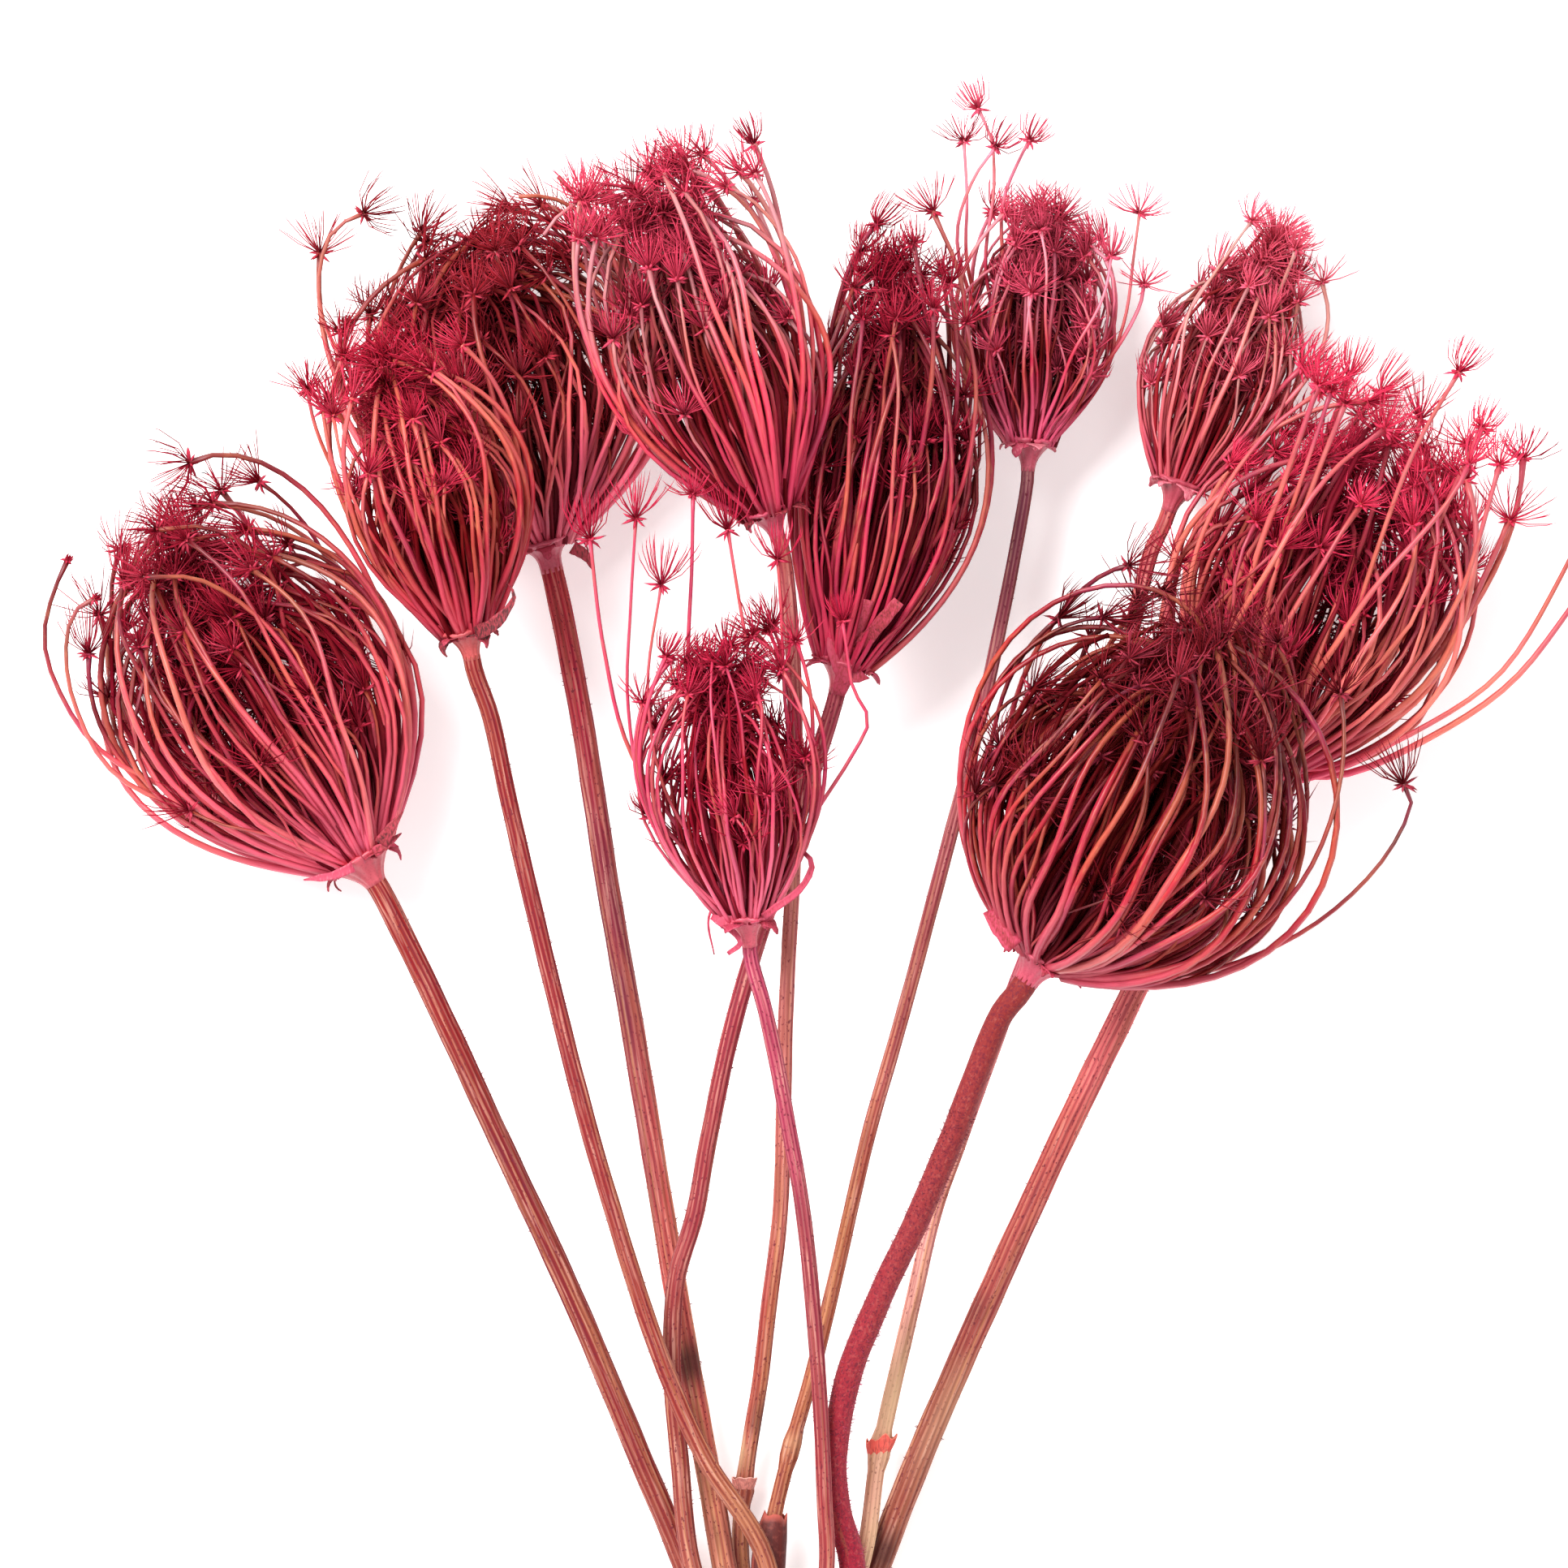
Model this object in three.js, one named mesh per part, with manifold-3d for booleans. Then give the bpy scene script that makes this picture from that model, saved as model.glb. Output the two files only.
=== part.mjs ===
// A hand-tied bunch of ten dried wild chervil stems, dyed red. Each stem ends in a seed umbel
// whose rays have curled up into a bird's nest. The bunch lies on a table: its heads point to +Y,
// its cut ends to -Y, and +Z is up from the table. All lengths are millimetres.

import * as THREE from "three";
import { mergeVertices } from "three/addons/utils/BufferGeometryUtils.js";
import Module from "manifold-3d";

const wasm = await Module();
wasm.setup();

// Driving dimensions of the stems. The eight edges of a stem are its ribs.
const STEM_SIDES = 8;
const STEM_STEPS = 15;
const STEM_TAPER = 0.05; // thinner at the neck and thicker at the foot by this share
const SEAT_GAP = 0.3; // between a stem's top and its umbel
const CUT_Y = -158;
const CUT_SPREAD = 1.3; // how much wider the bundle is at the cut ends than in the tie

// The umbels: a flared cup, long rays, and a broom of bare flower stalks at each ray's tip.
const CUP_DEPTH = 7;
const BRACT_LENGTH = 5;
const RAY_SIDES = 3;
const RAY_STEPS = 4;
const RAY_ROOT_RADIUS = 0.85;
const RAY_TIP_RADIUS = 0.65;
const RAY_RING = 0.72; // the rays' roots stand on this share of the cup's radius
const ROOT_SINK = 1.2;
const LONG_RAY = { width: 0.97, height: 0.95 }; // shares of the nest's half width and height
const SHORT_RAY = { width: 0.82, height: 0.86 }; // every third ray, inside the others
const FLUTE = 0.55; // radius between two gathered inner rays, as a share of that on them
const BROOM_LENGTH = 4.5;
const BROOM_RADIUS = 1.9;
const STALK_LENGTH = 4.8;

// The tie: turns of twine drawn round the stems.
const TIE_Y = -54;
const TIE_RING = 7; // most stems stand on a ring of this radius
const TIE_CORE = 1.95; // two thin stems run inside the ring
const TIE_BORE = 10.45;
const TIE_TURNS = 3;
const TIE_SIDES = 12;
const TWINE_DIAMETER = 2;
const TIE_HEIGHT = TIE_BORE + TWINE_DIAMETER; // the bundle's middle above the table

// One row for each stem. route: its line seen from above, from the cup down to y = 0. neck and
// low: heights of its centre at the cup and at y = 0. angle and ring: its place in the tie. cut:
// how far its cut end is shifted along y. umbel: the head's lean to the right and tilt upwards in
// degrees, the nest's height, half width and flatness, how far its rays close, how wide they leave
// the cup (less is wider), the sideways drift of their tips, and the cup's radius. strays: points
// of single rays that stand off from the nest.
const STEMS = [
  {
    radius: 2.5, neck: 26, low: 9, cut: 4, angle: 171, ring: TIE_RING,
    route: [[-92, 155.5], [-76.2, 122.8], [-63.8, 95.8], [-47.2, 59.8], [-32.1, 23.8],
            [-22.3, 0]],
    umbel: { lean: -31, tilt: 3, height: 84, width: 38, flat: 0.78, close: 0.76, start: 0.7,
             drift: -2, cup: 5.6, rays: 18, seed: 11 },
    strays: [
      [[-133, 160, 36], [-158, 180, 38], [-163, 203, 38]],
      [[-128, 175, 46], [-140, 190, 48], [-142, 208, 48]],
      [[-84, 200, 46], [-96, 230, 48], [-124, 241, 46]],
    ],
  },
  {
    radius: 1.95, neck: 57, low: 20, cut: -6, angle: 88.5, ring: TIE_RING,
    route: [[-69, 206.5], [-65, 189.4], [-60.3, 167.8], [-49.7, 122.8], [-42.8, 95.8],
            [-37.5, 77.8], [-32, 59.8], [-25.6, 41.8], [-17.5, 23.8], [-4, 1]],
    umbel: { lean: -13, tilt: 11, height: 60, width: 20.5, flat: 0.86, close: 0.8, start: 0.85,
             drift: -8, cup: 4.8, rays: 14, seed: 22 },
    strays: [],
  },
  {
    radius: 2.55, neck: 22, low: 8, cut: 0, angle: 220, ring: TIE_RING,
    route: [[-50.6, 226.3], [-45.2, 189.4], [-39, 149.8], [-34.3, 122.8], [-26.9, 77.8],
            [-22.7, 52.6], [-17.5, 23.8], [-13.4, 0]],
    umbel: { lean: -10, tilt: 4, height: 72, width: 35, flat: 0.7, close: 0.74, start: 0.95,
             drift: 0, cup: 6, rays: 18, seed: 33 },
    strays: [
      [[-84, 250, 30], [-103, 272, 32], [-97, 293, 32]],
      [[-50, 275, 44], [-45, 292, 44], [-52, 301, 40]],
    ],
  },
  {
    radius: 1.7, neck: 52, low: 3.5, cut: 7, angle: 262, ring: TIE_RING,
    route: [[-1.5, 233.5], [2, 202], [2.5, 176.8], [2, 155.2], [0.4, 122.8], [-0.9, 77.8],
            [-3.1, 59.8], [-5.2, 41.8], [-9, 16.6], [-9.5, 0]],
    umbel: { lean: -19, tilt: 10, height: 76, width: 28, flat: 0.8, close: 0.78, start: 0.9,
             drift: 5, cup: 5.4, rays: 16, seed: 44 },
    strays: [[[-33, 270, 60], [-36, 290, 62], [-26, 305, 60]]],
  },
  {
    radius: 1.95, neck: 35, low: 16, cut: -3, angle: 127, ring: TIE_RING,
    route: [[15.1, 200.2], [12.4, 196.6], [4.9, 172.3], [-10.7, 122.8], [-16.6, 95.8],
            [-19.9, 77.8], [-24, 63.4], [-24.8, 41.8], [-23.2, 23.8], [-20.5, 0]],
    umbel: { lean: 14, tilt: 3, height: 84, width: 25, flat: 0.76, close: 0.78, start: 0.9,
             drift: -8, cup: 5, rays: 16, seed: 55 },
    strays: [[[10, 240, 36], [13, 278, 36], [26, 297, 34]]],
  },
  {
    radius: 1.55, neck: 22, low: 12, cut: 2, angle: 90, ring: TIE_CORE,
    route: [[54.7, 248.8], [49.3, 214.6], [43, 185.8], [33.7, 149.8], [26.5, 122.8],
            [18.8, 95.8], [14.6, 77.8], [10.5, 59.8], [6.1, 41.8], [1, 23.8], [-3.6, 0]],
    umbel: { lean: 1, tilt: 1, height: 48, width: 21, flat: 0.82, close: 0.66, start: 1.0,
             drift: 0, cup: 5, rays: 14, seed: 66 },
    strays: [
      [[52, 275, 26], [46, 298, 28], [42, 313, 28]],
      [[58, 275, 28], [47, 300, 22], [53, 310, 22]],
      [[72, 270, 24], [79, 287, 24], [81, 297, 24]],
    ],
  },
  {
    radius: 1.7, neck: 54, low: 23, cut: 5, angle: 52, ring: TIE_RING,
    route: [[-8.3, 143.5], [-7.4, 139], [-3.9, 122.8], [1.4, 95.8], [4.4, 77.8], [7.7, 41.8],
            [9, 14.8], [9.5, 0]],
    umbel: { lean: -6, tilt: 12, height: 60, width: 21, flat: 0.82, close: 0.7, start: 0.95,
             drift: 1, cup: 4.8, rays: 14, seed: 77 },
    strays: [
      [[-26, 175, 66], [-42, 205, 72], [-37, 226, 74]],
      [[-14, 180, 70], [-20, 210, 76], [-20, 229, 76]],
    ],
  },
  {
    radius: 2.85, neck: 55, low: 16, cut: -4, angle: 6, ring: TIE_RING,
    route: [[55.6, 134], [48, 122.8], [37.3, 95.8], [29.7, 77.8], [21.2, 59.8], [14.2, 41.8],
            [11.2, 23.8], [11.9, 13], [15.1, 1], [14.6, -14], [9.6, -34]],
    umbel: { lean: 30, tilt: 10, height: 84, width: 45, flat: 0.76, close: 0.73, start: 0.55,
             drift: 3, cup: 7, rays: 20, seed: 88 },
    strays: [[[105, 128, 62], [130, 142, 62], [135, 163, 60]]],
  },
  {
    radius: 1.75, neck: 15, low: 10, cut: 3, angle: 270, ring: TIE_CORE,
    route: [[86.2, 240.7], [81.7, 225.4], [77.2, 207.4], [67.3, 171.4], [49.3, 122.8],
            [39.6, 95.8], [33.3, 77.8], [29.1, 59.8], [24.9, 41.8], [21, 23.8], [17.3, 0]],
    umbel: { lean: 18, tilt: 1, height: 56, width: 23, flat: 0.68, close: 0.76, start: 1.0,
             drift: 0, cup: 5, rays: 14, seed: 99 },
    strays: [],
  },
  {
    radius: 2.85, neck: 20, low: 5, cut: -2, angle: 308, ring: TIE_RING,
    route: [[101.5, 176.8], [88.6, 149.8], [75.5, 122.8], [62.4, 95.8], [45.9, 59.8],
            [30.2, 23.8], [21, 0]],
    umbel: { lean: 30, tilt: 9, height: 88, width: 38, flat: 0.76, close: 0.68, start: 0.75,
             drift: 0, cup: 6.6, rays: 18, seed: 110 },
    strays: [
      [[92, 215, 46], [98, 240, 52], [115, 263, 54]],
      [[128, 215, 56], [146, 238, 60], [154, 250, 60]],
      [[140, 200, 40], [152, 216, 40], [159, 228, 40]],
      [[135, 186, 34], [156, 201, 34], [172, 220, 34]],
    ],
  },
];

// Swellings of the lower stems: leaf joints, and the dry sheath of a leaf below one of them.
const SWELLINGS = [
  { stem: 4, top: 19, bottom: 14, radius: 2.3 },
  { stem: 6, top: 28, bottom: 23.5, radius: 2.2 },
  { stem: 6, top: 9, bottom: -10, radius: 2.3 },
  { stem: 9, top: 28.5, bottom: 23, radius: 2.5 },
];

// Two long dry bracts that curl away below the seventh umbel.
const CURLED_BRACTS = [
  [[-6, 143, 50], [6, 147, 49], [8, 156, 51], [-2, 160, 58]],
  [[-10, 143, 50], [-15, 138, 47], [-14, 128, 46], [-12, 122, 47]],
];
const CURLED_BRACT_UMBEL = 7;
const CURLED_BRACT_RADIUS = 0.8;

const DYED_RAY = { color: 0xb8434f, roughness: 0.75, metalness: 0 };
const DYED_STEM = { color: 0xb45a58, roughness: 0.8, metalness: 0 };
const TWINE = { color: 0xa98a5e, roughness: 0.95, metalness: 0 };

// A seeded draw between 0 and 1, so that the bunch is the same each time it is built.
function seeded(seed) {
  let state = seed >>> 0;
  return () => {
    state = (state + 0x6d2b79f5) >>> 0;
    let mixed = Math.imul(state ^ (state >>> 15), 1 | state);
    mixed = (mixed + Math.imul(mixed ^ (mixed >>> 7), 61 | mixed)) ^ mixed;
    return ((mixed ^ (mixed >>> 14)) >>> 0) / 4294967296;
  };
}

function spread(draw, middle, share) {
  return middle * (1 + share * (2 * draw() - 1));
}

// A closed geometry as a solid that can be joined and cut.
function solidOf(geometry) {
  const bare = new THREE.BufferGeometry().setAttribute("position", geometry.attributes.position);
  bare.setIndex(geometry.index);
  const merged = mergeVertices(bare, 1e-4);
  return new wasm.Manifold(
    new wasm.Mesh({
      numProp: 3,
      vertProperties: new Float32Array(merged.attributes.position.array),
      triVerts: new Uint32Array(merged.index.array),
    }),
  );
}

function meshOf(solid, name, look) {
  const joined = solid.getMesh();
  const geometry = new THREE.BufferGeometry();
  geometry.setAttribute("position", new THREE.BufferAttribute(joined.vertProperties, 3));
  geometry.setIndex(new THREE.BufferAttribute(joined.triVerts, 1));
  geometry.computeVertexNormals();
  const mesh = new THREE.Mesh(geometry, new THREE.MeshStandardMaterial(look));
  mesh.name = name;
  return mesh;
}

// A round bar bent along a curve. Each station gives a share of the curve, a distance past that
// point and the bar's radius there. The curve never runs along the vector across, which keeps the
// bar from twisting. The attribute row holds each corner's station.
function bentBar(curve, across, sides, stations) {
  const last = stations.length - 1;
  const bar = new THREE.CylinderGeometry(1, 1, last, sides, last).toNonIndexed();
  bar.translate(0, last / 2, 0);
  const position = bar.attributes.position;
  const rows = new Float32Array(position.count);
  for (let i = 0; i < position.count; i++) {
    rows[i] = Math.round(position.getY(i));
    const station = stations[rows[i]];
    const tangent = curve.getTangentAt(station.share);
    const right = across.clone().cross(tangent).normalize();
    const front = right.clone().cross(tangent);
    const point = curve.getPointAt(station.share);
    point.addScaledVector(tangent, station.past ?? 0);
    point.addScaledVector(right, position.getX(i) * station.radius);
    point.addScaledVector(front, position.getZ(i) * station.radius);
    position.setXYZ(i, point.x, point.y, point.z);
  }
  bar.setAttribute("row", new THREE.BufferAttribute(rows, 1));
  return bar;
}

// Draws chosen faces of a closed geometry out to points. pick(middle of a face, its first corner)
// gives null, or the point that the spike leads away from and the spike's length.
function drawnOut(geometry, pick) {
  const position = geometry.attributes.position;
  const corners = [];
  for (let i = 0; i < position.count; i += 3) {
    const [a, b, c] = [0, 1, 2].map((k) => new THREE.Vector3().fromBufferAttribute(position, i + k));
    if (new THREE.Triangle(a, b, c).getArea() < 1e-6) continue;
    const middle = a.clone().add(b).add(c).divideScalar(3);
    const spike = pick(middle, i);
    if (spike === null) {
      corners.push(a, b, c);
      continue;
    }
    const away = middle.clone().sub(spike.from).normalize();
    const tip = middle.addScaledVector(away, spike.length);
    corners.push(a, b, tip, b, c, tip, c, a, tip);
  }
  return new THREE.BufferGeometry().setFromPoints(corners);
}

// One ray of a nest. It leaves the cup's ring, swells out to the nest's half width and closes
// over the top: its distance from the axis follows a sine of the share along it, raised to the
// start power, and its height another sine.
class RayCurve extends THREE.Curve {
  constructor(ray) {
    super();
    this.ray = ray;
  }
  getPoint(share, target = new THREE.Vector3()) {
    const ray = this.ray;
    const around = ray.around + ray.swirl * share * share;
    const swell = Math.sin(Math.PI * ray.close * Math.pow(share, ray.start));
    const out = ray.ring + (ray.width - ray.ring) * swell;
    const up = (ray.height * Math.sin(ray.arch * share)) / Math.sin(ray.arch);
    return target.set(
      out * Math.sin(around) + ray.drift * share * share,
      up - ROOT_SINK,
      out * ray.flat * Math.cos(around),
    );
  }
}

// A ray and the broom at its tip. The broom is a cone, and each of its faces that looks forward is
// drawn out to a bare flower stalk.
function rayWithBroom(curve, around, draw) {
  const across = new THREE.Vector3(Math.cos(around), 0, -Math.sin(around));
  const stations = [];
  for (let step = 0; step <= RAY_STEPS; step++) {
    const share = step / RAY_STEPS;
    const radius = THREE.MathUtils.lerp(RAY_ROOT_RADIUS, RAY_TIP_RADIUS, share);
    stations.push({ share, radius });
  }
  stations.push({ share: 1, past: BROOM_LENGTH, radius: BROOM_RADIUS });
  const bar = bentBar(curve, across, RAY_SIDES, stations);
  const rows = bar.attributes.row;
  const from = curve.getPointAt(1);
  return solidOf(drawnOut(bar, (middle, first) => {
    const row = (rows.getX(first) + rows.getX(first + 1) + rows.getX(first + 2)) / 3;
    return row > RAY_STEPS + 0.5 ? { from, length: spread(draw, STALK_LENGTH, 0.25) } : null;
  }));
}

// The cup and, standing in it, the gathered inner rays: a fluted body whose ridges are the rays
// and whose head is drawn out to stalks. Faces under the cup's rim are drawn out to torn bracts.
function cupAndInnerRays(row, draw) {
  const { cup, height, width, rays, flat, drift } = row.umbel;
  const neck = row.radius * (1 - STEM_TAPER);
  const rim = 0.6;
  const profile = [
    [0, -CUP_DEPTH], [neck, -CUP_DEPTH], [cup * 0.7, -2.4], [cup, -0.5], [cup * 0.42, rim],
    [width * 0.17, height * 0.42], [width * 0.32, height * 0.64], [width * 0.3, height * 0.78],
    [0, height * 0.84],
  ].map(([r, y]) => new THREE.Vector2(r, y));
  const body = new THREE.LatheGeometry(profile, rays).toNonIndexed();
  const position = body.attributes.position;
  for (let i = 0; i < position.count; i++) {
    const y = position.getY(i);
    if (y <= rim + 0.01) continue;
    const around = Math.atan2(position.getX(i), position.getZ(i));
    const column = Math.round((around / (2 * Math.PI)) * rays);
    const flute = column % 2 === 0 ? 1 : FLUTE;
    const share = y / height;
    position.setX(i, position.getX(i) * flute + drift * share * share);
    position.setZ(i, position.getZ(i) * flute * flat);
  }
  const heart = new THREE.Vector3(drift * 0.2, height * 0.5, 0);
  const above = new THREE.Vector3(0, 5, 0);
  return solidOf(drawnOut(body, (middle) => {
    const away = Math.hypot(middle.x, middle.z);
    if (middle.y > height * 0.52 && draw() < 0.42) {
      return { from: heart, length: spread(draw, STALK_LENGTH * 1.3, 0.3) };
    }
    if (middle.y < 0 && away > cup * 0.75 && draw() < 0.3) {
      return { from: above, length: spread(draw, BRACT_LENGTH, 0.3) };
    }
    return null;
  }));
}

// Where an umbel stands: its cup's middle, with +Y along its axis.
function umbelPlace(row) {
  const place = new THREE.Object3D();
  place.position.set(row.route[0][0], row.route[0][1], row.neck);
  const tilt = THREE.MathUtils.degToRad(row.umbel.tilt);
  place.rotation.set(tilt, 0, THREE.MathUtils.degToRad(-row.umbel.lean), "ZXY");
  place.updateMatrix();
  return place;
}

// The rays stand in the middles of the cup's faces. A stray takes the place of the ray that is
// nearest to its own direction.
function rayCurves(row, place, draw) {
  const umbel = row.umbel;
  const inward = place.matrix.clone().invert();
  const strayAt = new Map();
  for (const stray of row.strays) {
    const points = stray.map((p) => new THREE.Vector3(...p).applyMatrix4(inward));
    const heading = Math.atan2(points[0].x, points[0].z) / (2 * Math.PI);
    let slot = Math.floor((heading + 1) * umbel.rays) % umbel.rays;
    while (strayAt.has(slot)) slot = (slot + 1) % umbel.rays;
    strayAt.set(slot, points);
  }
  const curves = [];
  for (let slot = 0; slot < umbel.rays; slot++) {
    const around = (2 * Math.PI * (slot + 0.5)) / umbel.rays;
    const size = slot % 3 === 2 ? SHORT_RAY : LONG_RAY;
    const ring = umbel.cup * RAY_RING;
    const ray = {
      around,
      ring,
      swirl: 0.3 * (draw() - 0.5),
      width: spread(draw, umbel.width * size.width, 0.05),
      height: spread(draw, umbel.height * size.height, 0.05),
      arch: 1.15 + 0.4 * draw(),
      close: spread(draw, umbel.close, 0.05),
      start: umbel.start,
      flat: umbel.flat,
      drift: umbel.drift,
    };
    const foot = new THREE.Vector3(ring * Math.sin(around), -ROOT_SINK, ring * Math.cos(around));
    const curve = strayAt.has(slot)
      ? new THREE.CatmullRomCurve3([foot, ...strayAt.get(slot)])
      : new RayCurve(ray);
    curves.push({ curve, around });
  }
  return curves;
}

function curledBracts(place) {
  const inward = place.matrix.clone().invert();
  return CURLED_BRACTS.map((points) => {
    const curve = new THREE.CatmullRomCurve3(
      points.map((p) => new THREE.Vector3(...p).applyMatrix4(inward)),
    );
    const stations = [0, 0.25, 0.5, 0.75, 1].map((share) => (
      { share, radius: CURLED_BRACT_RADIUS * (1 - 0.3 * share) }
    ));
    return solidOf(bentBar(curve, new THREE.Vector3(0, 0, 1), RAY_SIDES, stations));
  });
}

function umbelMesh(row, number) {
  const draw = seeded(row.umbel.seed);
  const place = umbelPlace(row);
  const pieces = [cupAndInnerRays(row, draw)];
  for (const { curve, around } of rayCurves(row, place, draw)) {
    pieces.push(rayWithBroom(curve, around, draw));
  }
  if (number === CURLED_BRACT_UMBEL) pieces.push(...curledBracts(place));
  const mesh = meshOf(wasm.Manifold.union(pieces), "umbel_" + number, DYED_RAY);
  mesh.position.copy(place.position);
  mesh.rotation.copy(place.rotation);
  return mesh;
}

// A stem's middle line: from just under its cup, down the route, through the tie, to its cut end.
function stemCurve(row) {
  const axis = new THREE.Vector3(0, 1, 0).applyEuler(umbelPlace(row).rotation);
  const [topX, topY] = row.route[0];
  const neck = new THREE.Vector3(topX, topY, row.neck);
  neck.addScaledVector(axis, -CUP_DEPTH - SEAT_GAP);
  const points = [neck, neck.clone().addScaledVector(axis, -3)];
  for (const [x, y] of row.route.slice(1)) {
    if (y > neck.y - 6) continue;
    const share = Math.max(0, y) / topY;
    points.push(new THREE.Vector3(x, y, THREE.MathUtils.lerp(row.low, row.neck, share)));
  }
  const angle = THREE.MathUtils.degToRad(row.angle);
  const across = row.ring * Math.cos(angle);
  const above = row.ring * Math.sin(angle);
  points.push(new THREE.Vector3(across, TIE_Y + 8, TIE_HEIGHT + above));
  points.push(new THREE.Vector3(across, TIE_Y - 8, TIE_HEIGHT + above));
  const foot = new THREE.Vector3(across, 0, above).multiplyScalar(CUT_SPREAD);
  points.push(foot.add(new THREE.Vector3(0, CUT_Y + row.cut, TIE_HEIGHT)));
  return new THREE.CatmullRomCurve3(points, false, "centripetal");
}

// The share along a stem at which it has come down to a given y.
function shareAtY(curve, y) {
  let low = 0;
  let high = 1;
  for (let halving = 0; halving < 30; halving++) {
    const middle = (low + high) / 2;
    if (curve.getPointAt(middle).y > y) low = middle;
    else high = middle;
  }
  return low;
}

function stemMesh(row, number) {
  const curve = stemCurve(row);
  const radiusAt = (share) => row.radius * (1 - STEM_TAPER + 2 * STEM_TAPER * Math.min(1, share * 1.5));
  const stations = [];
  for (let step = 0; step <= STEM_STEPS; step++) {
    const share = step / STEM_STEPS;
    stations.push({ share, radius: radiusAt(share) });
  }
  for (const swelling of SWELLINGS.filter((s) => s.stem === number)) {
    const top = shareAtY(curve, swelling.top);
    const bottom = shareAtY(curve, swelling.bottom);
    const quarter = (bottom - top) / 4;
    stations.push({ share: top, radius: radiusAt(top) });
    stations.push({ share: top + quarter, radius: swelling.radius });
    stations.push({ share: bottom - quarter, radius: swelling.radius });
    stations.push({ share: bottom, radius: radiusAt(bottom) });
  }
  stations.sort((a, b) => a.share - b.share);
  const bar = bentBar(curve, new THREE.Vector3(0, 0, 1), STEM_SIDES, stations);
  return meshOf(solidOf(bar), "stem_" + number, DYED_STEM);
}

// The tie: a band with one ridge for each turn of the twine. Its lowest facet lies on the table.
function tieMesh() {
  const corner = 1 / Math.cos(Math.PI / TIE_SIDES);
  const bore = TIE_BORE * corner;
  const crest = TIE_HEIGHT * corner;
  const valley = (bore + crest) / 2;
  const half = (TIE_TURNS * TWINE_DIAMETER) / 2;
  const profile = [new THREE.Vector2(bore, -half)];
  for (let turn = 0; turn < TIE_TURNS; turn++) {
    const start = -half + turn * TWINE_DIAMETER;
    profile.push(new THREE.Vector2(valley, start));
    profile.push(new THREE.Vector2(crest, start + TWINE_DIAMETER * 0.3));
    profile.push(new THREE.Vector2(crest, start + TWINE_DIAMETER * 0.7));
  }
  profile.push(new THREE.Vector2(valley, half));
  profile.push(new THREE.Vector2(bore, half));
  profile.push(new THREE.Vector2(bore, -half));
  const band = new THREE.LatheGeometry(profile, TIE_SIDES, Math.PI / TIE_SIDES);
  const mesh = meshOf(solidOf(band), "tie", TWINE);
  mesh.position.set(0, TIE_Y, TIE_HEIGHT);
  return mesh;
}

const bunch = new THREE.Group();
STEMS.forEach((row, i) => bunch.add(stemMesh(row, i + 1), umbelMesh(row, i + 1)));
bunch.add(tieMesh());

// The origin is the middle of the bunch's footprint on the table.
const box = new THREE.Box3().setFromObject(bunch, true);
bunch.position.set(-(box.min.x + box.max.x) / 2, -(box.min.y + box.max.y) / 2, -box.min.z);

export default bunch;
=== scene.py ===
import bpy
import numpy as np
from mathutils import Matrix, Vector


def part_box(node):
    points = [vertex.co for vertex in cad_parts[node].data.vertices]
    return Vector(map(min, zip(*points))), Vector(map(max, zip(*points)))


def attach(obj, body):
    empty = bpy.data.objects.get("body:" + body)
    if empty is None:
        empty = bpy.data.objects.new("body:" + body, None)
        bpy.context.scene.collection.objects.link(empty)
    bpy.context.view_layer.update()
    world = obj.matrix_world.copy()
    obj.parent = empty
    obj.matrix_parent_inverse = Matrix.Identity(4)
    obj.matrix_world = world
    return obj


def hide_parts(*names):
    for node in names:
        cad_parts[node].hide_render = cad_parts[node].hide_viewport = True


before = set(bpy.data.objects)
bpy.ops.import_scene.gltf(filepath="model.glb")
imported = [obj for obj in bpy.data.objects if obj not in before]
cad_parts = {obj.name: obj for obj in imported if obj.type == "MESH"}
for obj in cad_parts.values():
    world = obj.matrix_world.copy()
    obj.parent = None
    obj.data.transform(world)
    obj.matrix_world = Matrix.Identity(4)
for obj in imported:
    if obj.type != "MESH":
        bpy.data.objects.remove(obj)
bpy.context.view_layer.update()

# The stems. Each is the ribbed, pith-filled flower stalk of one plant, dried and dyed. It stands in
# its umbel's cup, runs down through the tie and ends in a knife cut. Sizes are millimetres, in the
# bunch's own frame, which has its tie at TIE_PLACE.
MM = 0.001
TIE_PLACE = np.array([0.0, -54.0, 12.45])
TIE_LOW, TIE_HIGH = (np.array(corner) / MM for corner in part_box("tie"))
ORIGIN = (TIE_LOW + TIE_HIGH) / 2 - TIE_PLACE
TIE_HALF_RUN = 8.0
TIE_RING = 7.0
TIE_CORE = 1.95
CUP_DEPTH = 7.0
STEM_TAPER = 0.05
STEM_TWIST = 0.9
STEM_STATIONS = 125
RIB_SIDES = 4
RIB_DEPTH = 0.05
SPIKE_SIDES = 3
HAIR_DYE = "7a2034"
CUT_Y = -158.0
CUT_SPREAD = 1.3
CUT_SLANT = 0.3
# The cut end's rings, from its edge in to the pith: their share of the stem's radius, and how far
# past its end they lie.
CUT_RINGS = np.array([(0.93, 0.0), (0.72, -0.3), (0.38, -0.5), (0.3, -2.4), (0.04, -2.5)])

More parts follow.
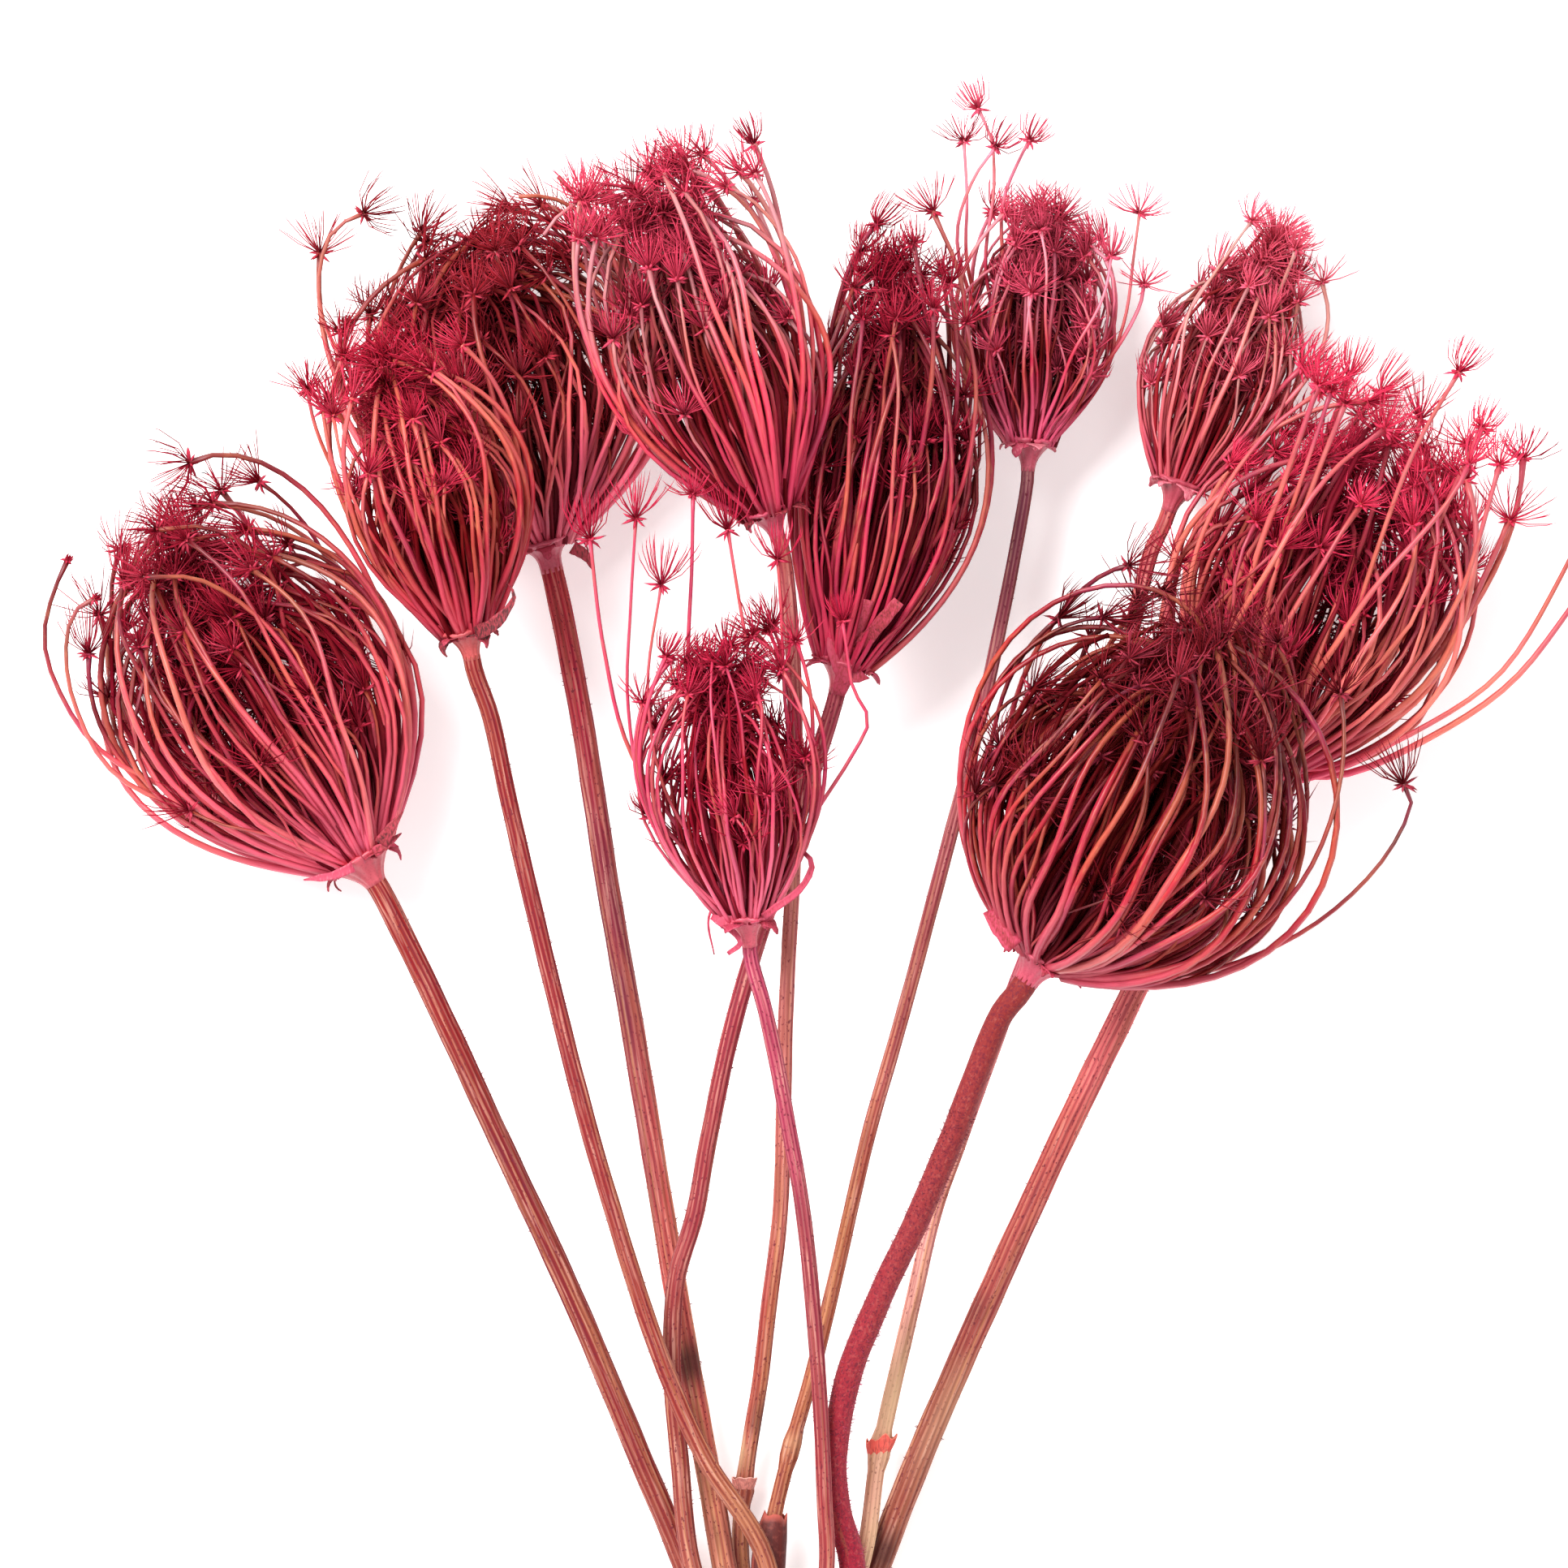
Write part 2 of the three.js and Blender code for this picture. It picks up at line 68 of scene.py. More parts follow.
# radius and ribs: the stem's size and number of ribs. neck and low: its heights at the cup and at
# y = 0. cut: how far its end is from CUT_Y. angle and ring: its place in the tie. lean and tilt: its
# umbel's, in degrees. dye: its colour at the cup, halfway, low in the fan and at the cut. stain: how
# badly it took the dye. hairs: their number and reach. velvet: the colour of close hairs, on the one
# stem that has them. patches: burnt (below 0) or bleached places, as their strength, y, half length
# and side. route: its line seen from above, from the cup down.
STEMS = [
    dict(radius=2.5, neck=26, low=9, cut=4, angle=171, ring=TIE_RING, lean=-31, tilt=3, ribs=13,
         dye=("861412", "741516", "7e201e", "a8654c"), stain=0.15, hairs=(260, 0.45),
         patches=[],
         route=[(-94.2, 157.7), (-76.2, 122.8), (-63.8, 95.8), (-47.2, 59.8), (-32.1, 23.8),
                (-22.3, 0)]),
    dict(radius=1.95, neck=57, low=20, cut=-6, angle=88.5, ring=TIE_RING, lean=-12, tilt=11, ribs=11,
         dye=("7f0f14", "882024", "8a2e24", "c08a5c"), stain=0.25, hairs=(260, 0.45),
         patches=[(0.15, 12, 9, 0.4)],
         route=[(-70.3, 208.2), (-65, 189.4), (-60.3, 167.8), (-49.7, 122.8), (-42.8, 95.8),
                (-37.5, 77.8), (-32, 59.8), (-25.6, 41.8), (-17.5, 23.8), (-4, 1)]),
    dict(radius=2.55, neck=22, low=8, cut=0, angle=220, ring=TIE_RING, lean=-14, tilt=4, ribs=12,
         dye=("b71233", "702634", "c5544d", "a5805a"), stain=0.5, hairs=(420, 0.45),
         patches=[(-1.0, 45, 6, 0.1), (-0.7, 8, 9, 0.4), (0.4, 12, 14, -0.5)],
         route=[(-53.2, 227.8), (-45.2, 189.4), (-39, 149.8), (-34.3, 122.8), (-26.9, 77.8),
                (-22.7, 52.6), (-17.5, 23.8), (-13.4, 0)]),
    dict(radius=1.7, neck=52, low=3.5, cut=7, angle=262, ring=TIE_RING, lean=-20, tilt=10, ribs=10,
         dye=("9c2c3c", "b96b67", "a03f34", "98744e"), stain=0.4, hairs=(120, 0.3),
         patches=[(0.9, 25, 5, -0.3), (-0.8, 29, 9, 0.9), (-0.5, 6, 9, 0.9), (0.4, 8, 9, -0.6)],
         route=[(-3.7, 234.9), (2, 202), (2.5, 176.8), (2, 155.2), (0.4, 122.8), (-0.9, 77.8),
                (-3.1, 59.8), (-5.2, 41.8), (-9, 16.6), (-9.5, 0)]),
    dict(radius=1.95, neck=35, low=16, cut=-3, angle=127, ring=TIE_RING, lean=14.5, tilt=3, ribs=11,
         dye=("b04458", "912735", "87352b", "b0624f"), stain=0.2, hairs=(420, 0.4),
         patches=[],
         route=[(13.5, 200.9), (4.9, 172.3), (-10.7, 122.8), (-16.6, 95.8),
                (-19.9, 77.8), (-24, 63.4), (-24.8, 41.8), (-23.2, 23.8), (-20.5, 0)]),
    dict(radius=1.55, neck=22, low=12, cut=2, angle=90, ring=TIE_CORE, lean=4, tilt=1, ribs=10,
         dye=("7c3b4c", "9f4551", "984729", "b2785a"), stain=0.25, hairs=(90, 0.3),
         patches=[(0.35, 27, 3, 0.2)],
         route=[(54.7, 250.4), (49.3, 214.6), (43, 185.8), (33.7, 149.8), (26.5, 122.8),
                (18.8, 95.8), (14.6, 77.8), (10.5, 59.8), (6.1, 41.8), (1, 23.8), (-3.6, 0)]),
    dict(radius=1.7, neck=54, low=23, cut=5, angle=52, ring=TIE_RING, lean=-6, tilt=12, ribs=10,
         dye=("b13a5d", "90323f", "922c32", "b35f52"), stain=0.12, hairs=(120, 0.3),
         patches=[],
         route=[(-8.3, 144.8), (-3.9, 122.8), (1.4, 95.8), (4.4, 77.8), (7.7, 41.8),
                (9, 14.8), (9.5, 0)]),
    dict(radius=2.85, neck=55, low=16, cut=-4, angle=6, ring=TIE_RING, lean=33, tilt=10, ribs=14,
         dye=("842826", "902f32", "97192f", "a8484c"), stain=0.05, hairs=(3000, 0.8), velvet="c04470",
         patches=[],
         route=[(57.2, 136), (48, 122.8), (37.3, 95.8), (29.7, 77.8), (21.2, 59.8), (14.2, 41.8),
                (11.2, 23.8), (11.9, 13), (15.1, 1), (14.6, -14), (9.6, -34)]),
    dict(radius=1.75, neck=15, low=10, cut=3, angle=270, ring=TIE_CORE, lean=20, tilt=1, ribs=10,
         dye=("b23e43", "a13253", "cf8c84", "bfa36a"), stain=0.5, hairs=(80, 0.3),
         patches=[(0.8, 36, 15, 0.0), (0.6, 4, 10, 0.5)],
         route=[(88, 241.1), (81.7, 225.4), (77.2, 207.4), (67.3, 171.4), (49.3, 122.8),
                (39.6, 95.8), (33.3, 77.8), (29.1, 59.8), (24.9, 41.8), (21, 23.8), (17.3, 0)]),
    dict(radius=2.85, neck=20, low=5, cut=-2, angle=308, ring=TIE_RING, lean=24, tilt=9, ribs=14,
         dye=("f37580", "b9514b", "8a3b2f", "9c7350"), stain=0.4, hairs=(300, 0.4),
         patches=[(-0.9, 3, 6, -0.4), (-0.5, 56, 5, -0.9), (0.3, 34, 20, 0.9)],
         route=[(101.5, 176.8), (88.6, 149.8), (75.5, 122.8), (62.4, 95.8), (45.9, 59.8),
                (30.2, 23.8), (21, 0)]),
]

# Leaf joints: where a stem swells, between two heights along y.
SWELLINGS = [
    dict(stem=4, top=19, bottom=14, radius=2.3),
    dict(stem=6, top=28, bottom=23.5, radius=2.2),
    dict(stem=6, top=9, bottom=-10, radius=2.3),
    dict(stem=9, top=28.5, bottom=23, radius=2.5),
]

# Dry leaf bases: a collar torn off short at two of the joints, and one whole sheath. reach: how far
# they stand off the stem's middle line, from the top down. open_at: the angle that the sheet starts
# at. overlap: how much more than one turn it makes. ragged and slant: its top edge. dye: its own
# colour, and its edges'.
SHEATHS = [
    dict(stem=4, top=19.2, bottom=16.6, reach=(2.55, 2.3, 2.0), open_at=4.2, overlap=-0.04,
         ragged=0.1, slant=0.25, dye=("d88478", "f0b8a8")),
    dict(stem=6, top=11.0, bottom=-15, reach=(2.3, 3.3, 3.6, 3.5, 2.9, 2.0), open_at=1.9, overlap=0.12,
         ragged=0.3, slant=0.3, dye=("5e1a14", "b8584c")),
    dict(stem=9, top=28.2, bottom=24.6, reach=(3.0, 2.7, 2.1), open_at=5.2, overlap=-0.05,
         ragged=0.32, slant=1.2, dye=("e2564a", "f08a70")),
]


def head_turn(row):
    """An umbel's turn: its own +Y goes to (sin lean cos tilt, cos lean cos tilt, sin tilt)."""
    lean, tilt = np.radians([row["lean"], row["tilt"]])
    sideways = np.array([[np.cos(lean), np.sin(lean), 0], [-np.sin(lean), np.cos(lean), 0], [0, 0, 1]])
    upwards = np.array([[1, 0, 0], [0, np.cos(tilt), -np.sin(tilt)], [0, np.sin(tilt), np.cos(tilt)]])
    return sideways @ upwards


def unit(vector):
    """Vectors along the last axis, made one long."""
    return vector / np.linalg.norm(vector, axis=-1, keepdims=True)


def length_along(line):
    """How far each point of a line lies along it: the running sum of its steps."""
    return np.concatenate([[0], np.cumsum(np.linalg.norm(np.diff(line, axis=0), axis=1))])


def smooth_line(points, count):
    """A line through the points, sampled at count even steps of length.

    Between two points it is a cubic, and its slopes there are the centripetal Catmull-Rom ones: each
    span's weight is the square root of its length.
    """
    p = np.asarray(points, float)
    p = np.vstack([2 * p[0] - p[1], p, 2 * p[-1] - p[-2]])
    weight = np.sqrt(np.linalg.norm(np.diff(p, axis=0), axis=1))[:, None]
    slope = np.diff(p, axis=0) / weight
    skip = (p[2:] - p[:-2]) / (weight[1:] + weight[:-1])
    leave = (slope[:-2] - skip[:-1] + slope[1:-1]) * weight[1:-1]
    arrive = (slope[1:-1] - skip[1:] + slope[2:]) * weight[1:-1]
    t = np.linspace(0, 1, 24, endpoint=False)[None, :, None]
    fine = (
        (2 * t**3 - 3 * t**2 + 1) * p[1:-2, None]
        + (t**3 - 2 * t**2 + t) * leave[:, None]
        + (3 * t**2 - 2 * t**3) * p[2:-1, None]
        + (t**3 - t**2) * arrive[:, None]
    )
    fine = np.vstack([fine.reshape(-1, 3), p[-2]])
    gone = length_along(fine)
    even = np.linspace(0, gone[-1], count)
    return np.stack([np.interp(even, gone, fine[:, k]) for k in range(3)], axis=1)


def stem_points(row):
    """The points of a stem's middle line: in its cup, down its route, through the tie, to its cut."""
    cup = np.array([*row["route"][0], row["neck"]])
    axis = head_turn(row) @ (0, 1, 0)
    neck = cup - CUP_DEPTH * axis
    points = [neck + axis, neck - 3 * axis]
    for x, y in row["route"][1:]:
        rise = max(0, y) / cup[1]
        points.append((x, y, row["low"] + (row["neck"] - row["low"]) * rise))
    angle = np.radians(row["angle"])
    beside = row["ring"] * np.array([np.cos(angle), 0, np.sin(angle)])
    points.append(TIE_PLACE + beside + (0, TIE_HALF_RUN, 0))
    points.append(TIE_PLACE + beside - (0, TIE_HALF_RUN, 0))
    points.append(CUT_SPREAD * beside + (0, CUT_Y + row["cut"], TIE_PLACE[2]))
    return points


def bars(lines, radius, sides, across=None, past=0.0, turn=0.0):
    """Closed bars, with a ring of corners about every point of every line.

    A corner at angle a is the point + past along + radius (cos a right + sin a front), where right is
    across x along and front is right x along. By itself across is the way a line is flattest in.
    """
    lines = np.asarray(lines, float)
    along = unit(np.gradient(lines, axis=1))
    if across is None:
        across = np.linalg.svd(lines - lines.mean(axis=1, keepdims=True))[2][:, 2]
    across = np.broadcast_to(across, (len(lines), 3))
    right = unit(np.cross(across[:, None], along))
    front = np.cross(right, along)
    angle = np.atleast_3d(turn) + 2 * np.pi * np.arange(sides) / sides
    reach = np.broadcast_to(np.atleast_3d(radius), (*lines.shape[:2], sides))[..., None]
    out = np.cos(angle)[..., None] * right[:, :, None] + np.sin(angle)[..., None] * front[:, :, None]
    corners = lines[:, :, None] + reach * out + np.atleast_3d(past)[..., None] * along[:, :, None]
    index = np.arange(corners.size // 3).reshape(corners.shape[:3])
    after = np.roll(index, -1, axis=2)
    walls = np.stack([index[:, :-1], index[:, 1:], after[:, 1:], after[:, :-1]], axis=-1)
    ends = [index[:, 0], index[:, -1, ::-1]]
    return dict(corners=corners, faces=[walls.reshape(-1, 4), *ends], marks={}, finish=0)


def spikes(lines, radius):
    """Closed bars that run out to a point: the last ring is one corner."""
    open_rings = np.arange(lines.shape[1]) < lines.shape[1] - 1
    bar = bars(lines, radius * open_rings, SPIKE_SIDES)
    corners = bar["corners"].reshape(len(lines), -1, 3)[:, :1 - SPIKE_SIDES]
    index = np.arange(corners.size // 3).reshape(corners.shape[:2])
    rings = index[:, :-1].reshape(len(lines), -1, SPIKE_SIDES)
    after = np.roll(rings, -1, axis=2)
    walls = np.stack([rings[:, :-1], rings[:, 1:], after[:, 1:], after[:, :-1]], axis=-1)
    tips = np.broadcast_to(index[:, -1:], rings[:, -1].shape)
    cones = np.stack([rings[:, -1], tips, after[:, -1]], axis=-1)
    faces = [walls.reshape(-1, 4), cones.reshape(-1, 3), rings[:, 0]]
    return dict(corners=corners, faces=faces, marks={}, finish=0)


def slab(grid, thick):
    """A thin closed sheet: a grid of points, its twin behind it, and a rim that joins their borders."""
    normal = unit(np.cross(np.gradient(grid, axis=0), np.gradient(grid, axis=1)))
    corners = np.stack([grid + normal * thick / 2, grid - normal * thick / 2])
    front, back = np.arange(corners.size // 3).reshape(corners.shape[:3])
    faces = [
        np.stack([front[:-1, :-1], front[1:, :-1], front[1:, 1:], front[:-1, 1:]], axis=-1).reshape(-1, 4),
        np.stack([back[:-1, 1:], back[1:, 1:], back[1:, :-1], back[:-1, :-1]], axis=-1).reshape(-1, 4),
    ]
    border = [
        np.concatenate([side[:-1, 0], side[-1, :-1], side[:0:-1, -1], side[0, :0:-1]])
        for side in (front, back)
    ]
    after = [np.roll(side, -1) for side in border]
    faces.append(np.stack([after[0], border[0], border[1], after[1]], axis=-1))
    return dict(corners=corners, faces=faces, marks={}, finish=0)


def build_piece(name, parts, finishes, replaced):
    """One mesh object at the origin, from parts with corners in the bunch's millimetres.

    A part's marks are numbers or vectors on its corners, which its finish reads as attributes. Its
    finish is the number of its material among the piece's.
    """
    corners = np.concatenate([part["corners"].reshape(-1, 3) for part in parts])
    sizes, loops, kinds, first = [], [], [], 0
    for part in parts:
        for faces in part["faces"]:
            sizes.append(np.full(len(faces), faces.shape[1]))
            loops.append(faces.ravel() + first)
            kinds.append(np.full(len(faces), part["finish"]))
        first += part["corners"].size // 3
    sizes, loops, kinds = (np.concatenate(array) for array in (sizes, loops, kinds))
    mesh = bpy.data.meshes.new(name)
    mesh.vertices.add(len(corners))
    mesh.vertices.foreach_set("co", ((corners + ORIGIN) * MM).astype(np.float32).ravel())
    mesh.loops.add(len(loops))
    mesh.loops.foreach_set("vertex_index", loops.astype(np.int32))
    mesh.polygons.add(len(sizes))
    mesh.polygons.foreach_set("loop_start", (np.cumsum(sizes) - sizes).astype(np.int32))
    mesh.polygons.foreach_set("material_index", kinds.astype(np.int32))
    mesh.polygons.foreach_set("use_smooth", np.ones(len(sizes), bool))
    mesh.update(calc_edges=True)
    for mark, width in (("along", 1), ("tint", 1), ("shade", 1), ("grain", 3)):
        values = []
        for part in parts:
            value = np.asarray(part["marks"].get(mark, 0.0), float)
            value = value if width == 3 else value[..., None]
            shape = (*part["corners"].shape[:-1], width)
            values.append(np.broadcast_to(value, shape).reshape(-1, width))
        kind, field = ("FLOAT_VECTOR", "vector") if width == 3 else ("FLOAT", "value")
        data = mesh.attributes.new(mark, kind, "POINT").data
        data.foreach_set(field, np.concatenate(values).astype(np.float32).ravel())
    for finish in finishes:
        mesh.materials.append(finish)
    piece = bpy.data.objects.new(name, mesh)
    bpy.context.scene.collection.objects.link(piece)
    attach(piece, "root")
    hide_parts(replaced)


def dye(code):
    """A colour's linear red, green and blue from its six-digit code."""
    value = np.array([int(code[k:k + 2], 16) for k in (0, 2, 4)]) / 255
    linear = np.where(value <= 0.04045, value / 12.92, ((value + 0.055) / 1.055) ** 2.4)
    return (*linear.tolist(), 1.0)


def new_finish(name, roughness, gloss=0.5):
    """A material, its node tree and its shader, with the shader's roughness and gloss set."""
    material = bpy.data.materials.new(name)
    material.use_nodes = True
    shader = material.node_tree.nodes["Principled BSDF"]
    shader.inputs["Roughness"].default_value = roughness
    shader.inputs["Specular IOR Level"].default_value = gloss
    return material, material.node_tree, shader


def feed(tree, socket, value):
    """Gives a shader socket a value, or links another node's output to it."""
    if isinstance(value, bpy.types.NodeSocket):
        tree.links.new(value, socket)
    else:
        socket.default_value = value


def add_node(tree, kind, sockets, **settings):
    """A shader node, with its settings made and its named sockets fed."""
    node = tree.nodes.new("ShaderNode" + kind)
    for name, value in settings.items():
        setattr(node, name, value)
    for name, value in sockets.items():
        feed(tree, node.inputs[name], value)
    return node


def marked(tree, name):
    """The attribute that build_piece wrote under this name."""
    node = add_node(tree, "Attribute", {}, attribute_name=name)
    return node.outputs["Vector" if name == "grain" else "Fac"]


def ranged(tree, value, low, high, bottom=0.0, top=1.0):
    """A value carried from low..high to bottom..top, and held at both ends."""
    sockets = {"Value": value, "From Min": low, "From Max": high, "To Min": bottom, "To Max": top}
    return add_node(tree, "MapRange", sockets).outputs["Result"]


def product(tree, first, second, plus=0.0):
    """The first value times the second, plus the third."""
    node = add_node(tree, "Math", {}, operation="MULTIPLY_ADD")
    for socket, value in zip(node.inputs, (first, second, plus)):
        feed(tree, socket, value)
    return node.outputs[0]


def ramp(tree, share, stops):
    """A colour along a share: stops are pairs of a place and a colour code."""
    node = add_node(tree, "ValToRGB", {"Fac": share})
    elements = node.color_ramp.elements
    while len(elements) < len(stops):
        elements.new(0.5)
    for element, (place, code) in zip(elements, stops):
        element.position = place
        element.color = dye(code)
    return node.outputs["Color"]


def mixed(tree, share, first, second):
    """Two colours mixed: the second's part is the share."""
    node = add_node(tree, "Mix", {}, data_type="RGBA")
    for socket, value in zip((node.inputs[0], node.inputs[6], node.inputs[7]), (share, first, second)):
        feed(tree, socket, value)
    return node.outputs[2]


def noise(tree, vector, factors, detail):
    """Noise over a vector whose three numbers are first multiplied by the factors."""
    drawn = add_node(tree, "VectorMath", {}, operation="MULTIPLY")
    feed(tree, drawn.inputs[0], vector)
    drawn.inputs[1].default_value = factors
    sockets = {"Vector": drawn.outputs["Vector"], "Scale": 1.0, "Detail": detail}
    return add_node(tree, "TexNoise", sockets).outputs["Fac"]


def lay_on(tree, shader, colour, height=None, strength=0.0, depth=0.0):
    """Links a colour to the shader, and a height that raises its surface by up to depth metres."""
    tree.links.new(colour, shader.inputs["Base Color"])
    if height is not None:
        bump = add_node(tree, "Bump", {"Height": height, "Strength": strength, "Distance": depth})
        tree.links.new(bump.outputs["Normal"], shader.inputs["Normal"])


def stem_finish(name, row):
    """Dyed bark: the dye's colours down the stem, painted shade in the grooves and painted highlight on
    the rib crests, straw stripes and fine streaks along the ribs, dark specks, brown stains where the
    dye has taken badly, and bleached or burnt patches."""
    material, tree, bark = new_finish(name, 0.62, 0.2)
    velvet = float("velvet" in row)
    grain, along, rib, spots = (marked(tree, mark) for mark in ("grain", "along", "shade", "tint"))
    top, middle, low, foot = row["dye"]
    blotch = noise(tree, grain, (0.12, 0.12, 0.02), 2.0)
    place = product(tree, blotch, 0.3, along)
    colour = ramp(tree, place, [(0.15, top), (0.37, middle), (0.6, low), (0.95, foot)])

    stripe = noise(tree, grain, (1.0, 1.0, 0.012), 2.0)
    straw = ranged(tree, stripe, 0.54, 0.64, 0.0, (0.3 + 0.5 * row["stain"]) * (1 - velvet))
    straw = product(tree, straw, ranged(tree, along, 0.12, 0.42, 0.25, 1.0))
    colour = mixed(tree, straw, colour, dye("c48a5c"))
    pale = mixed(tree, 0.5, colour, dye("efb8a4"))
    streak = noise(tree, grain, (1.6, 1.6, 0.07 + velvet), 4.0)
    colour = mixed(tree, ranged(tree, streak, 0.54, 0.7, 0.0, 0.75 - 0.6 * velvet), colour, pale)
    dark = mixed(tree, 0.65, colour, dye("64182a"))
    colour = mixed(tree, ranged(tree, streak, 0.47, 0.34, 0.0, 0.85), colour, dark)
    # Painted highlight on the rib crests and painted shade in the grooves between them.
    colour = mixed(tree, ranged(tree, rib, 0.4, 1.0, 0.0, 0.3), colour, pale)
    colour = mixed(tree, ranged(tree, rib, 0.1, -0.9, 0.0, 0.7), colour, dark)

    stain = noise(tree, grain, (0.35, 0.35, 0.035), 3.0)
    rare = 0.66 - 0.3 * row["stain"]
    brown = ramp(tree, along, [(0.2, "9a4a40"), (0.6, "9a6244"), (0.95, "7c6a3c")])
    colour = mixed(tree, ranged(tree, stain, rare, rare + 0.14, 0.0, 0.7), colour, brown)
    specks = noise(tree, grain, (2.0, 2.0, 1.1 + velvet), 1.0)
    rare = 0.64 - 0.06 * velvet
    colour = mixed(tree, ranged(tree, specks, rare, rare + 0.05, 0.0, 0.8), colour, dye("641c2c"))
    colour = mixed(tree, ranged(tree, spots, 0.1, 1.0, 0.0, 0.85), colour, dye("dcb88e"))
    colour = mixed(tree, ranged(tree, spots, -0.15, -0.9, 0.0, 0.85), colour, dye("3c1c1a"))
    lay_on(tree, bark, colour, noise(tree, grain, (3.0, 3.0, 0.25), 3.0), 0.35, 0.0002)
    return material


def stem_bar(number, row, draw):
    """The stem's body: a bar whose radius is thick (1 + uneven + RIB_DEPTH rib), where rib is twice
    the size of cos(ribs a / 2), less one, and uneven is three slow waves. The rings of its cut end
    fold in to the cut face and its soft pith."""
    line = smooth_line(stem_points(row), STEM_STATIONS)
    share = np.linspace(0, 1, STEM_STATIONS)
    thick = row["radius"] * (1 - STEM_TAPER + 2 * STEM_TAPER * np.minimum(1, 1.5 * share))
    for joint in SWELLINGS:
        if joint["stem"] == number:
            middle, half = (joint["top"] + joint["bottom"]) / 2, (joint["top"] - joint["bottom"]) / 2
            near = np.exp(-(((line[:, 1] - middle) / half) ** 4))
            thick = thick + (joint["radius"] - thick) * near
    tiny = 0.004 * np.arange(1, 1 + len(CUT_RINGS))[:, None]
    line = np.vstack([line, line[-1] + tiny * unit(line[-1] - line[-2])])
    thick = np.concatenate([thick, thick[-1] * CUT_RINGS[:, 0]])
    body = (np.arange(len(line)) < STEM_STATIONS)[:, None]
    at_end = (np.arange(len(line)) >= STEM_STATIONS - 1)[:, None]

    sides = RIB_SIDES * row["ribs"]
    angle = 2 * np.pi * np.arange(sides) / sides
    rib = (2 * np.abs(np.cos(row["ribs"] * angle / 2)) - 1) * (0.15 if "velvet" in row else 1.0)
    gone = length_along(line)
    waves = draw.uniform(0, 2 * np.pi, (3, 2))
    uneven = sum(
        0.012 * np.sin(gone[:, None] * (0.12 + 0.17 * k) + k * angle + waves[k, 0]) for k in range(3)
    )
    radius = thick[:, None] * (1 + uneven + RIB_DEPTH * rib * body)
    past = np.concatenate([np.zeros(STEM_STATIONS), CUT_RINGS[:, 1]])[:, None]
    past = past + CUT_SLANT * at_end * radius * np.cos(angle)
    turn = STEM_TWIST * gone / gone[-1] + waves[0, 1]
    bar = bars(line[None], radius[None], sides, (0, 0, 1), past[None], turn[None, :, None])

    round_grain = np.broadcast_arrays(
        thick[:, None] * np.cos(angle), thick[:, None] * np.sin(angle), gone[:, None] + 40.0 * number
    )
    facing = (bar["corners"][0] - line[:, None]) / np.maximum(radius, 0.1)[..., None]
    spots = 0 * radius
    for strength, y, half, side in row["patches"]:
        near = strength * np.exp(-(((line[:, 1] - y) / half) ** 2))[:, None]
        spots = spots + near * np.clip(0.4 + facing @ unit(np.array([side, 0, 0.9])), 0, 1)
    # The shade mark is the rib's profile, which the finish paints as highlight on the crests and shade in
    # the grooves.
    bar["marks"] = dict(
        along=(gone / gone[-1])[None, :, None],
        shade=np.where(body, rib, 0.0)[None],
        tint=np.where(body, spots, 1.0)[None],
        grain=np.stack(round_grain, axis=-1)[None],
    )
    return bar, line, gone


def stem_hairs(row, bar, line, gone, draw):
    """Stiff hairs on the ribs: three-sided spikes that start in the bark and lean up the stem. On the
    velvety stem they are thinner, stand between the ribs too, and leave both ends bare."""
    count, reach = row["hairs"]
    velvet = "velvet" in row
    skin = bar["corners"][0]
    share = draw.uniform(0, 1, count)
    if velvet:
        share = 0.1 + 0.8 * share**1.3
    place = share * (STEM_STATIONS - 8) + 2
    station = place.astype(int)
    part = (place - station)[:, None]
    ring = draw.integers(0, row["ribs"], count) * RIB_SIDES
    if velvet:
        ring = draw.integers(0, skin.shape[1], count)
    root = skin[station, ring] * (1 - part) + skin[station + 1, ring] * part
    out = unit(root - line[station] * (1 - part) - line[station + 1] * part)
    up = unit(line[station] - line[station + 1])
    size = reach * draw.uniform(0.5, 1.2, (count, 1))
    lean = draw.uniform(0.1, 0.8, (count, 1))
    tip = root + size * (out + lean * up + 0.3 * draw.normal(size=(count, 3)))
    lines = np.stack([root - 0.2 * out, (root + tip) / 2 + 0.1 * size * out, tip], axis=1)
    hairs = spikes(lines, (0.07 if velvet else 0.13) * np.array([[1.0, 0.7, 0.0]]))
    along = (gone[station] / gone[-1])[:, None]
    hairs["marks"] = dict(along=along, tint=draw.uniform(0, 1, (count, 1)), grain=root[:, None])
    hairs["finish"] = 1
    return hairs


